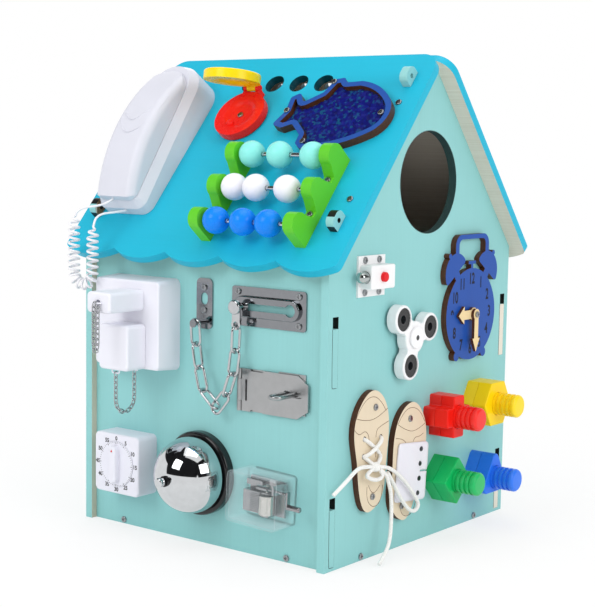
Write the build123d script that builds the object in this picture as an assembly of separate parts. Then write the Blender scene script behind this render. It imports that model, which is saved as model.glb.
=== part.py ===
from build123d import *
import math
import os

# Toy activity house: a plywood house whose walls and roof carry household fittings to play with.
# Millimetres. The origin is the centre of the underside. The front wall faces -Y, the gable with the
# clock faces +X and +Z is up. "Drop" is a distance down the roof slope from the ridge line, "rise" and
# "out" are distances away from the surface that carries a piece.

# Clearances and cuts
OVERRUN = 2.0
JOINT_GAP = 0.1
RUN_GAP = 0.3
PIN_GAP = 0.06

# Plywood shell
HOUSE_WIDTH = 292.0
HOUSE_DEPTH = 300.0
EAVES_HEIGHT = 268.4
ROOF_PITCH_DEGREES = 50.0
PLY = 8.0
WALL_INSET = 6.5
TAB_HEIGHT = 51.0
LOW_TAB_BASE = 3.0
HIGH_TAB_BASE = 160.0
TAB_HEADROOM = 10.5
GABLE_HOLE = 93.4
GABLE_HOLE_HEIGHT = 334.0

# Roof panels and the gable tenons that come up through them
ROOF_PLY = 8.0
ROOF_OVERHANG = 15.5
RIDGE_SETBACK = 13.5
ROOF_REACH = 259.5
SCALLOPS = 5
SCALLOP_DEPTH = 8.8
ROOF_TOP_ROUND = 19.0
ROOF_FOOT_ROUND = 6.0
RIDGE_HOLES = 4
RIDGE_HOLE = 19.6
RIDGE_HOLE_DROP = 47.0
RIDGE_HOLE_PITCH = 29.4
RIDGE_HOLE_SHIFT = 2.1
TENON_LENGTH = 17.0
TENON_RISE = 12.0
TENON_ROUND = 6.5
TENON_ROOT = 6.0
HIGH_TENON_DROP = 44.5
LOW_TENON_DROP = 208.0
PEG_HOLE = 4.5
PEG_HOLE_RISE = 5.0

# Wood screws
SCREW_HEAD = 6.0
SCREW_HEAD_HEIGHT = 1.6
SCREW_HEAD_ROUND = 0.9
SCREW_SHANK = 3.0
SCREW_GRIP = 6.5
SCREW_CROSS = 3.4
SCREW_CROSS_SLOT = 0.8
SCREW_CROSS_DEPTH = 0.9
HIGH_ROOF_SCREW_DROP = 71.7
LOW_ROOF_SCREW_DROP = 181.5
FLOOR_SCREW_SPREAD = 200.0
GABLE_FLOOR_SCREW_SPREAD = 192.0

# Telephone on the roof
PHONE_X = -106.0
PHONE_DROP = 213.0
PHONE_WIDTH = 60.0
PHONE_LENGTH = 162.0
PHONE_CORNER = 10.0
PHONE_SEAT_RISE = 19.0
PHONE_TILT_DEGREES = 6.9
PHONE_BAND = 9.0
PHONE_BEVEL = 5.0
HANDSET_WIDTH = 49.0
HANDSET_LENGTH = 146.0
HANDSET_SETBACK = 3.5
HANDSET_CORNER = 8.0
HANDSET_CROWN = 22.5
HANDSET_ARC = 159.5
HANDSET_APEX = 68.5
HANDSET_SHOULDER = 9.0

# Curly cord of the telephone
CORD_WIRE = 2.2
CURL_RADIUS = 4.8
CURLS = 23
CORD_OUT = 34.6
CORD_LEFT_X = -133.0
CORD_RIGHT_X = -108.0
CORD_TOP = 279.0
CORD_BOTTOM = 228.0
CORD_LEAD = 8.0
HANDSET_CORD_RISE = 3.6
HANDSET_CORD_SHIFT = -2.0
BASE_CORD_DEPTH = 12.5
BASE_CORD_SHIFT = 5.0

# Castanet on the roof
CASTANET = 54.0
CASTANET_X = -26.5
CASTANET_DROP = 92.0
CASTANET_SHELL = 9.0
CASTANET_EDGE = 2.0
CASTANET_DISH = 36.0
CASTANET_DISH_FLOOR = 24.0
CASTANET_DISH_DEPTH = 3.0
CASTANET_GAP = 1.0
CASTANET_OPEN_DEGREES = 58.0
CASTANET_HINGE_REACH = 31.0
CASTANET_PIN = 2.4
CASTANET_KNUCKLE = 6.0
CASTANET_KNUCKLE_WIDTH = 10.0
CASTANET_LUG = 4.0
CASTANET_BUMP = 7.0
CASTANET_BUMP_RISE = 2.2
CASTANET_BUMP_LEFT = 5.8
CASTANET_BUMP_DOWN = 11.5

# Bead abacus on the roof
BRACKET_PLY = 11.0
BRACKET_LEFT_X = 8.7
BRACKET_RIGHT_X = 115.8
BRACKET_VALLEY = 8.0
LOBE_RADIUS = 10.5
LOBE_RISE = 19.0
ROD = 4.0
ROD_RISE = 18.0
ROD_TOP_DROP = 149.0
ROD_PITCH = 38.0
ROD_SEAT = 7.0
BEAD = 24.5
BEAD_BORE = 4.6
BEAD_ROWS = ("mint", "white", "blue")
BEAD_PLACE_SHARES = ((0.131, 0.462, 0.850), (0.131, 0.391, 0.757), (0.131, 0.452, 0.749))

# Whale with a sequin field on the roof
WHALE_WIDTH = 122.5
WHALE_HEIGHT = 85.0
WHALE_X = 80.8
WHALE_DROP = 90.5
WHALE_RIM = 5.5
WHALE_PLY = 8.0
WHALE_ROUND = 3.2
SEQUIN_PAD = 3.0
WHALE_TAIL_SHARES = (
    (-0.12, -0.50), (-0.186, -0.43), (-0.19, -0.31), (-0.308, -0.16), (-0.40, -0.215), (-0.50, -0.17),
    (-0.435, 0.03), (-0.455, 0.22), (-0.382, 0.288), (-0.316, 0.15), (-0.169, 0.288), (-0.12, 0.476),
    (-0.039, 0.50), (0.002, 0.43), (0.141, 0.447),
)
WHALE_BROW_SHARE = (0.337, 0.347)
WHALE_NOSE_SHARE = (0.475, 0.171)
WHALE_CHIN_SHARE = (0.427, -0.265)
WHALE_SCREW_SHARES = ((-0.121, 0.44), (0.448, 0.0), (-0.425, 0.03), (-0.121, -0.40))

# Wall socket with two plugs
SOCKET = 85.0
SOCKET_DEPTH = 27.0
SOCKET_X = -71.5
SOCKET_Z = 199.5
SOCKET_CORNER = 6.0
SOCKET_DRAFT_DEGREES = 4.2
SOCKET_EDGE = 2.0
PIN_WIDTH = 6.4
PIN_THICKNESS = 1.6
PIN_LENGTH = 15.0
PIN_SPREAD = 12.7
EARTH_PIN_RISE = 11.0
PIN_CLEARANCE = 0.4
TWO_PIN_X = -64.0
TWO_PIN_Z = 222.5
TWO_PIN_WIDTH = 30.0
TWO_PIN_HEIGHT = 19.0
TWO_PIN_DEPTH = 43.0
THREE_PIN_X = -65.5
THREE_PIN_Z = 180.0
THREE_PIN_WIDTH = 37.0
THREE_PIN_HEIGHT = 42.0
THREE_PIN_DEPTH = 23.0
PLUG_CORNER = 4.0
PLUG_EDGE = 2.5
PLUG_EYE = 6.0
PLUG_EYE_DEPTH = 6.0
EYELET_WIDTH = 9.0
EYELET_WIRE = 1.4
EYELET_REACH = 3.0
EYELET_BEND = 1.6

# Small chains of the plugs
PLUG_LINK_LENGTH = 7.4
PLUG_LINK_WIDTH = 4.6
PLUG_LINK_WIRE = 1.1
PLUG_LINK_SLACK = 0.45
HIGH_CHAIN_LINKS = 9
HIGH_CHAIN_TOP = 1.3
HIGH_CHAIN_HALF = 2.6
HIGH_CHAIN_FOOT = 1.5
HIGH_CHAIN_SAG = 1.275
LOW_CHAIN_LINKS = 19
LOW_CHAIN_SPREAD = 24.0
LOW_CHAIN_INSET = 4.0

# Door chain: anchor plate, slotted track, slider and two halves of oval links
CHAIN_PLATE = 1.5
ANCHOR_X = 2.0
ANCHOR_Z = 222.0
ANCHOR_WIDTH = 19.0
ANCHOR_HEIGHT = 46.0
ANCHOR_CORNER = 5.0
ANCHOR_HOLE_WIDTH = 8.0
ANCHOR_HOLE_HEIGHT = 11.0
ANCHOR_HOLE_RISE = 4.5
ANCHOR_SCREW_SPREAD = 20.5
ANCHOR_PEG = 4.0
ANCHOR_PEG_HEAD = 7.5
ANCHOR_PEG_HEAD_HEIGHT = 1.6
ANCHOR_PEG_DROP = 17.3
ANCHOR_PEG_SHIFT = -1.7
TRACK_X = 76.7
TRACK_HEADROOM = 27.4
TRACK_WIDTH = 83.5
TRACK_HEIGHT = 35.0
TRACK_CORNER = 3.0
TRACK_SCREW_INSET_X = 7.5
TRACK_SCREW_INSET_Z = 4.7
TRACK_SLOT = 6.2
TRACK_START = 49.2
TRACK_TRAVEL = 54.0
TRACK_KEYHOLE = 11.0
TRACK_CHANNEL = 13.0
TRACK_CHANNEL_DEPTH = 3.6
TRACK_RIM = 19.0
TRACK_RIM_RISE = 5.0
TRACK_RIM_EDGE = 1.2
SLIDER_FLANGE = 10.4
SLIDER_FLANGE_THICKNESS = 1.6
SLIDER_FLANGE_OUT = 0.9
SLIDER_NECK = 5.0
SLIDER_STRAP_WIDTH = 9.0
SLIDER_STRAP_DROP = 15.5
SLIDER_STRAP_EYE = 5.4
SLIDER_STRAP_EYE_EDGE = 2.4
SLIDER_STRAP = 2.0
SLIDER_KNOB = 13.0
SLIDER_KNOB_HEIGHT = 4.0
SLIDER_KNOB_ROUND = 1.6
CHAIN_OUT = 12.0
LINK_LENGTH = 26.5
LINK_WIDTH = 13.0
LINK_WIRE = 2.6
LINK_PITCH = 21.0
LEFT_LINK_LEAN_DEGREES = (5.0, 10.0, 15.0, 50.0)
RIGHT_LINK_LEAN_DEGREES = (-2.0, -8.0, -20.0, -41.0)

# Hasp and staple
HASP_X = 46.0
HASP_Z = 149.0
HASP_LENGTH = 77.4
HASP_HEIGHT = 38.0
HASP_PLATE = 1.6
HASP_CHAMFER_LONG = 12.0
HASP_CHAMFER_TALL = 7.5
HASP_PIN = 2.4
HASP_KNUCKLE = 5.0
HASP_KNUCKLE_OUT = 2.6
HASP_SLIT = 2.2
HASP_SLIT_HEIGHT = 19.0
HASP_SLIT_SETBACK = 5.0
HASP_NOTCH_LENGTH = 14.0
HASP_NOTCH_DEPTH = 1.6
HASP_NOTCH_SETBACK = 10.0
HASP_LEAF_LENGTH = 34.0
HASP_LEAF = 1.2
HASP_LEAF_KNUCKLE = 9.0
STAPLE_REACH = 58.0
STAPLE_WIRE = 4.0
STAPLE_SPREAD = 10.0
STAPLE_RISE = 29.0
STAPLE_LIFT = 2.0
STAPLE_SLOT_START = 50.0
STAPLE_SLOT_END = 71.5
STAPLE_SLOT_HEIGHT = 5.6
STAPLE_BASE_LENGTH = 30.0
STAPLE_BASE_HEIGHT = 36.0

# Kitchen timer
TIMER = 57.0
TIMER_X = -86.0
TIMER_Z = 64.5
TIMER_DEPTH = 25.0
TIMER_CORNER = 5.0
TIMER_EDGE = 2.0
DIAL = 43.4
DIAL_THICKNESS = 3.0
DIAL_PROUD = 0.6
DIAL_SHAFT = 6.0
DIAL_SHAFT_LENGTH = 9.0
GRIP_LENGTH = 36.0
GRIP_WIDTH = 9.0
GRIP_RISE = 6.0
GRIP_ROUND = 2.0

# Counter bell
BELL_X = -0.5
BELL_Z = 65.8
BELL_BASE = 77.5
BELL_BASE_DEPTH = 9.0
BELL_BASE_EDGE = 3.0
BELL_DOME = 70.0
BELL_DOME_HEIGHT = 37.0
BELL_LIFT = 3.0
BELL_WALL = 1.2
BELL_POST = 8.0
BELL_NECK = 5.0
BELL_NUT = 10.0
BELL_NUT_HEIGHT = 2.0
PLUNGER = 8.5
PLUNGER_RISE = 5.0
PLUNGER_STEM = 2.6
PLUNGER_STEM_LENGTH = 14.0
PLUNGER_TRAVEL = 2.5
PLUNGER_ROUND = 1.5

# Music box with its crank
MUSIC_X = 82.0
MUSIC_Z = 57.8
MUSIC_WIDTH = 56.0
MUSIC_HEIGHT = 45.5
MUSIC_DEPTH = 29.0
MUSIC_TILT_DEGREES = -2.5
MUSIC_WALL = 1.8
MUSIC_CORNER = 4.0
BED_WIDTH = 40.0
BED_HEIGHT = 32.0
BED_THICKNESS = 2.5
BED_OUT = 3.0
BED_POST = 5.0
COMB_WIDTH = 19.0
COMB_HEIGHT = 19.0
COMB_THICKNESS = 1.2
COMB_BLOCK = 8.0
COMB_TEETH = 12
COMB_TOOTH_GAP = 0.5
COMB_ROOT = 8.0
MUSIC_DRUM = 14.0
MUSIC_DRUM_HEIGHT = 17.0
MUSIC_DRUM_SHIFT = 6.0
MUSIC_DRUM_DROP = 5.0
MUSIC_DRUM_OUT = 14.0
MUSIC_ARBOR = 2.4
MUSIC_LUG = 2.0
MUSIC_LUG_WIDTH = 8.0
MUSIC_GEAR = 7.0
MUSIC_GEAR_THICKNESS = 2.0
MUSIC_WORM = 4.4
MUSIC_WORM_LENGTH = 12.0
GOVERNOR_LENGTH = 18.0
GOVERNOR_HEIGHT = 5.0
CRANK_SHAFT = 2.4
CRANK_RISE = 11.0
CRANK_OVERHANG = 7.0
CRANK_ARM = 11.0
CRANK_ARM_WIDTH = 4.0
CRANK_ARM_THICKNESS = 1.6
CRANK_KNOB = 5.0
CRANK_KNOB_LENGTH = 13.0
CRANK_HOLE = 3.4

# Push-button latch on the gable
LATCH_Y = -90.6
LATCH_Z = 253.8
LATCH_PLATE_WIDTH = 40.2
LATCH_PLATE_HEIGHT = 35.8
LATCH_PLATE = 2.0
LATCH_BOX_WIDTH = 36.0
LATCH_BOX_HEIGHT = 21.0
LATCH_BOX_RISE = 14.6
LATCH_BOX_EDGE = 2.0
LATCH_SCREW_INSET_X = 9.5
LATCH_SCREW_INSET_Z = 3.8
BOLT = 10.3
BOLT_OUT = 7.9
BOLT_NOSE = 10.0
BOLT_BODY = 25.0
BOLT_TAIL = 4.0
BOLT_TAIL_PROUD = 1.5
BOLT_TRAVEL = 7.0
BOLT_BORE_END = 3.0
BUTTON = 8.6
BUTTON_PROUD = 3.2
BUTTON_TRAVEL = 2.5
BUTTON_ROUND = 1.0
BUTTON_SINK = 0.9

# Spinner on the gable
SPINNER_Y = -35.4
SPINNER_Z = 195.3
SPINNER_ARM = 26.0
SPINNER_ARMS = 3
SPINNER_TURN_DEGREES = 47.0
SPINNER_LOBE = 26.0
SPINNER_HUB = 30.0
SPINNER_WEB = 17.0
SPINNER_THICKNESS = 10.0
SPINNER_EDGE = 1.5
SPINNER_OUT = 3.0
SPINNER_WEIGHT = 21.0
SPINNER_WEIGHT_HOLE = 8.0
SPINNER_WEIGHT_THICKNESS = 8.0
SPINNER_STUD = 4.0
SPINNER_COLLAR = 10.0
SPINNER_CAP = 20.0
SPINNER_CAP_HEIGHT = 2.4
SPINNER_CAP_ROUND = 1.0
SPINNER_WEIGHT_SINK = 1.0

# Clock on the gable
CLOCK_Y = 70.5
CLOCK_Z = 207.5
CLOCK_FACE = 88.0
CLOCK_PLY = 6.0
CLOCK_BELL = 39.0
CLOCK_BELL_REACH = 48.5
CLOCK_BELL_TURN_DEGREES = 34.5
CLOCK_BELL_ROUND = 3.0
CLOCK_NECK = 9.0
CLOCK_BELL_TIP = 5.0
CLOCK_HANDLE = 60.0
CLOCK_HANDLE_HEIGHT = 26.5
CLOCK_HANDLE_BAND = 6.2
CLOCK_HANDLE_BAR = 4.4
CLOCK_HANDLE_ROUND = 10.0
CLOCK_HANDLE_RISE = 50.0
CLOCK_FOOT = 9.0
CLOCK_FOOT_REACH = 46.0
CLOCK_FOOT_TURN_DEGREES = 32.0
CLOCK_HAMMER_WIDTH = 13.0
CLOCK_HAMMER_HEIGHT = 3.0
CLOCK_HAMMER_STEM = 3.5
CLOCK_HAMMER_RISE = 5.5
HAND_PLY = 3.0
BOSS_SHARE = 0.75
HAND_WIDTH = 8.5
HAND_HEAD = 17.0
HOUR_HAND = 27.0
HOUR_HAND_HEAD = 10.0
MINUTE_HAND = 36.0
MINUTE_HAND_HEAD = 13.0
MINUTE_HAND_WIDTH = 7.0
MINUTE_HAND_HEAD_WIDTH = 13.0

# Lacing shoe and snap shoe on the gable
SOLE_LENGTH = 108.0
SOLE_WIDTH = 53.0
SOLE_PLY = 6.0
SOLE_OUTLINE_SHARES = (
    (0.08, 0.0), (0.40, 0.13), (0.455, 0.38), (0.475, 0.70), (0.29, 0.925), (-0.02, 1.0), (-0.40, 0.87),
    (-0.52, 0.65), (-0.40, 0.42), (-0.28, 0.16),
)
SOLE_SCREW_SHARES = ((0.04, 0.86), (0.10, 0.12))
LACE_SHOE_Y = -94.6
LACE_SHOE_Z = 45.2
LACE_SHOE_LEAN_DEGREES = -3.8
SNAP_SHOE_Y = -37.6
SNAP_SHOE_Z = 27.1
SNAP_SHOE_LEAN_DEGREES = -5.6
LACE_HOLE = 5.0
LACE_HOLE_SPREAD = 25.0
LACE_HOLE_PITCH = 15.4
LACE_HOLE_HEIGHT = 65.5
LACE_HOLE_SHIFT = 0.8
LACE_ROWS = 2
LACE = 3.6
LACE_STACK = 2.6
LACE_STUB = 4.2
LACE_KNOT = 10.5
LACE_KNOT_DROP = 9.5
BEND_SHARE = 0.45
LACE_ENDS = (
    ((-112.0, 90.0, 13.0), (-121.5, 88.0, 11.5), (-133.0, 78.5, 9.0), (-146.2, 69.4, 6.0)),
    ((-112.0, 82.5, 14.0), (-101.0, 76.5, 13.5), (-89.0, 74.0, 13.5), (-82.0, 77.5, 13.5), (-88.0, 83.5, 13.0)),
    ((-79.0, 79.0, 13.5), (-74.6, 69.2, 14.0), (-71.3, 57.4, 15.0), (-74.9, 35.6, 18.0), (-81.3, 17.2, 21.0),
     (-92.1, 8.6, 23.0), (-102.3, 2.5, 24.5)),
    ((-78.6, 84.6, 13.5), (-62.1, 76.4, 13.0), (-45.3, 64.4, 12.5), (-29.3, 49.1, 12.0), (-21.3, 39.3, 12.0),
     (-27.2, 33.6, 12.0), (-37.6, 36.4, 12.0), (-53.4, 50.9, 12.5), (-66.1, 67.2, 13.0), (-76.0, 78.5, 13.5)),
)
FLAP_THICKNESS = 1.6
FLAP_LEFT_SHARE = -0.36
FLAP_RIGHT_SHARE = 0.545
FLAP_TOP_SHARE = 0.655
FLAP_FOOT_SHARE = 0.155
FLAP_CORNER = 5.0
FLAP_SLIT = 1.4
FLAP_SLIT_DEPTH = 10.0
SNAP = 5.0
SNAP_RISE = 0.8
SNAPS = 4
SNAP_INSET = 6.5
SNAP_SETBACK = 11.0

# Toy bolts and nuts on the gable
BOLT_HEAD = 12.5
NUT_THICKNESS = 14.0
THREAD = 22.0
THREAD_ROOT = 19.4
THREAD_PITCH = 5.0
THREADS = 4
BOLT_TIP = 51.0
BOLT_TIP_ROUND = 3.0
NUT_GAP = 0.4
NUT_ROUND = 2.0
CROSS_Y = 20.0
CROSS_Z = 117.0
CROSS_SPAN = 39.0
CROSS_ARM = 18.0
HEXAGON_Y = 91.0
HEXAGON_Z = 120.0
HEXAGON_RADIUS = 24.0
SQUARE_Y = 21.5
SQUARE_Z = 56.0
SQUARE_SIDE = 32.0
SQUARE_TURN_DEGREES = 43.0
TRIANGLE_Y = 91.0
TRIANGLE_Z = 47.5
TRIANGLE_RADIUS = 29.0
TRIANGLE_ROUND = 6.0
TRIANGLE_TURN_DEGREES = 90.0

# Places worked out from the sizes above
PITCH = math.radians(ROOF_PITCH_DEGREES)
SLOPE_COS = math.cos(PITCH)
SLOPE_SIN = math.sin(PITCH)
GABLE_X = HOUSE_WIDTH / 2
TRACK_Z = EAVES_HEIGHT - TRACK_HEADROOM - TRACK_HEIGHT / 2
INNER_WIDTH = HOUSE_WIDTH - 2 * PLY
ROOF_WIDTH = HOUSE_WIDTH + 2 * ROOF_OVERHANG
FRONT_Y = WALL_INSET - HOUSE_DEPTH / 2
APEX_Z = EAVES_HEIGHT + HOUSE_DEPTH / 2 * math.tan(PITCH)
RIDGE_Z = APEX_Z + ROOF_PLY / SLOPE_COS
WALL_TOP = APEX_Z + FRONT_Y * math.tan(PITCH) - JOINT_GAP

BASE_AT_ZERO = (Align.CENTER, Align.CENTER, Align.MIN)
TOP_AT_ZERO = (Align.CENTER, Align.CENTER, Align.MAX)
CENTRED = (Align.CENTER, Align.CENTER, Align.CENTER)


# Placing and shared shapes

def on_front(x, z, out=0):
    """Place on the front wall: first axis right, second up, third out of the wall."""
    return Plane(origin=(x, FRONT_Y - out, z), x_dir=(1, 0, 0), z_dir=(0, -1, 0)).location


def on_gable(y, z, out=0):
    """Place on the right gable: first axis to the rear, second up, third out of the gable."""
    return Plane(origin=(GABLE_X + out, y, z), x_dir=(0, 1, 0), z_dir=(1, 0, 0)).location


def on_roof(x, drop, out=0):
    """Place on the front roof: first axis right, second up the slope, third out of the roof."""
    y = -drop * SLOPE_COS - out * SLOPE_SIN
    z = RIDGE_Z - drop * SLOPE_SIN + out * SLOPE_COS
    return Plane(origin=(x, y, z), x_dir=(1, 0, 0), z_dir=(0, -SLOPE_SIN, SLOPE_COS)).location


def roof_side(x):
    """Plane across the roof at x, with drop along its first axis and rise along its second."""
    return Plane(origin=(x, 0, RIDGE_Z), x_dir=(0, -SLOPE_COS, -SLOPE_SIN), z_dir=(-1, 0, 0))


def to_rear(solid):
    return mirror(solid, about=Plane.XZ)


def to_left(solid):
    return mirror(solid, about=Plane.YZ)


def outline(points):
    """Flat face with straight sides through the points."""
    return make_face(Polyline(*points, close=True))


def block(width, height, depth, corner, edge):
    """Box with rounded corners and a softened front edge, standing on its plane."""
    solid = extrude(RectangleRounded(width, height, corner), amount=depth)
    return fillet(solid.edges().group_by(Axis.Z)[-1], edge)


def rod_along_x(diameter, length):
    return Rot(Y=90) * Cylinder(diameter / 2, length)


def tube(path, diameter):
    """Round wire along a path."""
    start = Plane(origin=path @ 0, z_dir=path % 0)
    return sweep(start * Circle(diameter / 2), path=path)


def stadium_link(length, width, wire):
    """One oval link, long along its first axis."""
    path = SlotOverall(length - wire, width - wire).face().outer_wire()
    return tube(path, wire)


def screw(stack):
    """Cross-recess screw: its head lies on the plane and its shank runs down through the stack."""
    head = Cylinder(SCREW_HEAD / 2, SCREW_HEAD_HEIGHT, align=BASE_AT_ZERO)
    head = fillet(head.edges().sort_by(Axis.Z)[-1], SCREW_HEAD_ROUND)
    slot = Box(SCREW_CROSS, SCREW_CROSS_SLOT, SCREW_CROSS_DEPTH, align=TOP_AT_ZERO)
    cross = Pos(0, 0, SCREW_HEAD_HEIGHT) * (slot + Rot(Z=90) * slot)
    shank = Cylinder(SCREW_SHANK / 2, stack + SCREW_GRIP, align=TOP_AT_ZERO)
    return head - cross + shank


def pilots(screws):
    """Holes for a list of screws, each a place and the stack it passes through."""
    radius = SCREW_SHANK / 2 + JOINT_GAP
    return [place * Cylinder(radius, stack + SCREW_GRIP + JOINT_GAP, align=TOP_AT_ZERO) for place, stack in screws]


# Screw places, each with the thickness between its head and the panel that it bites into

def mirrored_pairs(half_width, half_height):
    return [(u, v) for u in (-half_width, half_width) for v in (-half_height, half_height)]


roof_screws = []
for x in (PLY / 2 - GABLE_X, GABLE_X - PLY / 2):
    for drop in (HIGH_ROOF_SCREW_DROP, LOW_ROOF_SCREW_DROP):
        roof_screws.append((on_roof(x, drop), ROOF_PLY))
front_floor_screws = [(on_front(x, PLY / 2), PLY) for x in (-FLOOR_SCREW_SPREAD / 2, FLOOR_SCREW_SPREAD / 2)]
gable_floor_screws = [
    (on_gable(y, PLY / 2), PLY) for y in (-GABLE_FLOOR_SCREW_SPREAD / 2, GABLE_FLOOR_SCREW_SPREAD / 2)
]
castanet_screws = [(on_roof(CASTANET_X, CASTANET_DROP, CASTANET_SHELL - CASTANET_DISH_DEPTH),
                    CASTANET_SHELL - CASTANET_DISH_DEPTH)]
bracket_screws = [
    (on_roof(x, ROD_TOP_DROP + ROD_PITCH * (row + 1 / 2), BRACKET_VALLEY), BRACKET_VALLEY)
    for x in (BRACKET_LEFT_X, BRACKET_RIGHT_X)
    for row in range(len(BEAD_ROWS) - 1)
]
whale_screws = [
    (on_roof(WHALE_X + u * WHALE_WIDTH, WHALE_DROP - v * WHALE_HEIGHT, WHALE_PLY), WHALE_PLY)
    for u, v in WHALE_SCREW_SHARES
]
anchor_screws = [
    (on_front(ANCHOR_X, ANCHOR_Z + ANCHOR_HOLE_RISE + v, CHAIN_PLATE), CHAIN_PLATE)
    for v in (-ANCHOR_SCREW_SPREAD / 2, ANCHOR_SCREW_SPREAD / 2)
]
track_screws = [
    (on_front(TRACK_X + u, TRACK_Z + v, CHAIN_PLATE), CHAIN_PLATE)
    for u, v in mirrored_pairs(TRACK_WIDTH / 2 - TRACK_SCREW_INSET_X, TRACK_HEIGHT / 2 - TRACK_SCREW_INSET_Z)
]
latch_screws = [
    (on_gable(LATCH_Y + u, LATCH_Z + v, LATCH_PLATE), LATCH_PLATE)
    for u, v in mirrored_pairs(LATCH_PLATE_WIDTH / 2 - LATCH_SCREW_INSET_X, LATCH_PLATE_HEIGHT / 2 - LATCH_SCREW_INSET_Z)
]


def on_sole(shoe, across, along, out=0):
    """Place on a shoe sole, given as shares of the sole's width and length."""
    y, z, lean, hand = shoe
    return on_gable(y, z, out) * Rot(Z=lean) * Pos(hand * across * SOLE_WIDTH, along * SOLE_LENGTH)


LACE_SHOE = (LACE_SHOE_Y, LACE_SHOE_Z, LACE_SHOE_LEAN_DEGREES, 1)
SNAP_SHOE = (SNAP_SHOE_Y, SNAP_SHOE_Z, SNAP_SHOE_LEAN_DEGREES, -1)
sole_screws = [
    (on_sole(shoe, across, along, SOLE_PLY), SOLE_PLY)
    for shoe in (LACE_SHOE, SNAP_SHOE)
    for across, along in SOLE_SCREW_SHARES
]


# House shell

def gable_blank():
    """Right gable: five-sided panel with slots for the wall tabs and tenons that pass through the roof."""
    half = HOUSE_DEPTH / 2
    sides = ((-half, 0), (half, 0), (half, EAVES_HEIGHT), (0, APEX_Z), (-half, EAVES_HEIGHT))
    panel = on_gable(0, 0) * extrude(outline(sides), amount=-PLY)
    height = TENON_ROOT + ROOF_PLY + TENON_RISE
    tenon = Pos(0, 0, TENON_RISE) * Box(PLY, TENON_LENGTH, height, align=TOP_AT_ZERO)
    tenon = fillet(tenon.edges().filter_by(Axis.X).group_by(Axis.Z)[-1], TENON_ROUND)
    tenon -= Pos(0, 0, PEG_HOLE_RISE) * rod_along_x(PEG_HOLE, PLY + OVERRUN)
    slot_height = TAB_HEIGHT + TAB_HEADROOM
    slot = Box(PLY + 2 * JOINT_GAP, slot_height, 2 * PLY + OVERRUN)
    for drop in (HIGH_TENON_DROP, LOW_TENON_DROP):
        upright = on_roof(GABLE_X - PLY / 2, drop) * tenon
        panel += [upright, to_rear(upright)]
    for base in (LOW_TAB_BASE, HIGH_TAB_BASE):
        opening = on_gable(FRONT_Y + PLY / 2, base - JOINT_GAP + slot_height / 2) * slot
        panel -= [opening, to_rear(opening)]
    return panel


def wall_blank():
    """Front wall between the gables, with two tabs on each side that fill the gable slots."""
    panel = on_front(0, WALL_TOP / 2) * Box(INNER_WIDTH, WALL_TOP, PLY, align=TOP_AT_ZERO)
    for base in (LOW_TAB_BASE, HIGH_TAB_BASE):
        panel += on_front(0, base + TAB_HEIGHT / 2) * Box(HOUSE_WIDTH, TAB_HEIGHT, PLY, align=TOP_AT_ZERO)
    return panel


def roof_blank():
    """Front roof panel: scalloped eave, rounded top corners, ridge holes and tenon slots."""
    half = ROOF_WIDTH / 2
    cusp = SCALLOP_DEPTH - ROOF_REACH
    edges = [Line((-half, cusp), (-half, -RIDGE_SETBACK)), Line((-half, -RIDGE_SETBACK), (half, -RIDGE_SETBACK)),
             Line((half, -RIDGE_SETBACK), (half, cusp))]
    pitch = ROOF_WIDTH / SCALLOPS
    for count in range(SCALLOPS):
        right = half - count * pitch
        edges.append(ThreePointArc((right, cusp), (right - pitch / 2, -ROOF_REACH), (right - pitch, cusp)))
    face = make_face(edges)
    face = fillet(face.vertices().group_by(Axis.Y)[-1], ROOF_TOP_ROUND)
    outer = [corner for corner in face.vertices() if abs(corner.X) > half - JOINT_GAP]
    face = fillet([corner for corner in outer if corner.Y < cusp / 2], ROOF_FOOT_ROUND)
    for count in range(RIDGE_HOLES):
        x = RIDGE_HOLE_SHIFT + (count - (RIDGE_HOLES - 1) / 2) * RIDGE_HOLE_PITCH
        face -= Pos(x, -RIDGE_HOLE_DROP) * Circle(RIDGE_HOLE / 2)
    for drop in (HIGH_TENON_DROP, LOW_TENON_DROP):
        for x in (PLY / 2 - GABLE_X, GABLE_X - PLY / 2):
            face -= Pos(x, -drop) * Rectangle(PLY + 2 * JOINT_GAP, TENON_LENGTH + 2 * JOINT_GAP)
    return on_roof(0, 0) * extrude(face, amount=-ROOF_PLY)


# Telephone

PHONE_SEAT = on_roof(PHONE_X, PHONE_DROP, PHONE_SEAT_RISE) * Rot(X=PHONE_TILT_DEGREES)


def round_ended(width, length, corner):
    """Flat outline from the origin upwards: square end with soft corners below, half circle on top."""
    straight = length - width / 2
    face = Pos(0, straight / 2) * Rectangle(width, straight) + Pos(0, straight) * Circle(width / 2)
    return fillet(face.vertices().group_by(Axis.Y)[0], corner)


def phone_base():
    """Wedge-shaped base with a bevelled band round the slanted seat of the handset."""
    face = Pos(0, 0, -PHONE_BAND) * round_ended(PHONE_WIDTH, PHONE_LENGTH, PHONE_CORNER)
    taper = math.degrees(math.atan2(PHONE_BEVEL, PHONE_BAND))
    body = extrude(face, amount=PHONE_BAND, taper=taper) + extrude(face, amount=-PHONE_LENGTH / 2)
    under_roof = Box(2 * PHONE_LENGTH, 3 * PHONE_LENGTH, PHONE_LENGTH, align=TOP_AT_ZERO)
    return PHONE_SEAT * body - on_roof(PHONE_X, PHONE_DROP) * under_roof


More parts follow.
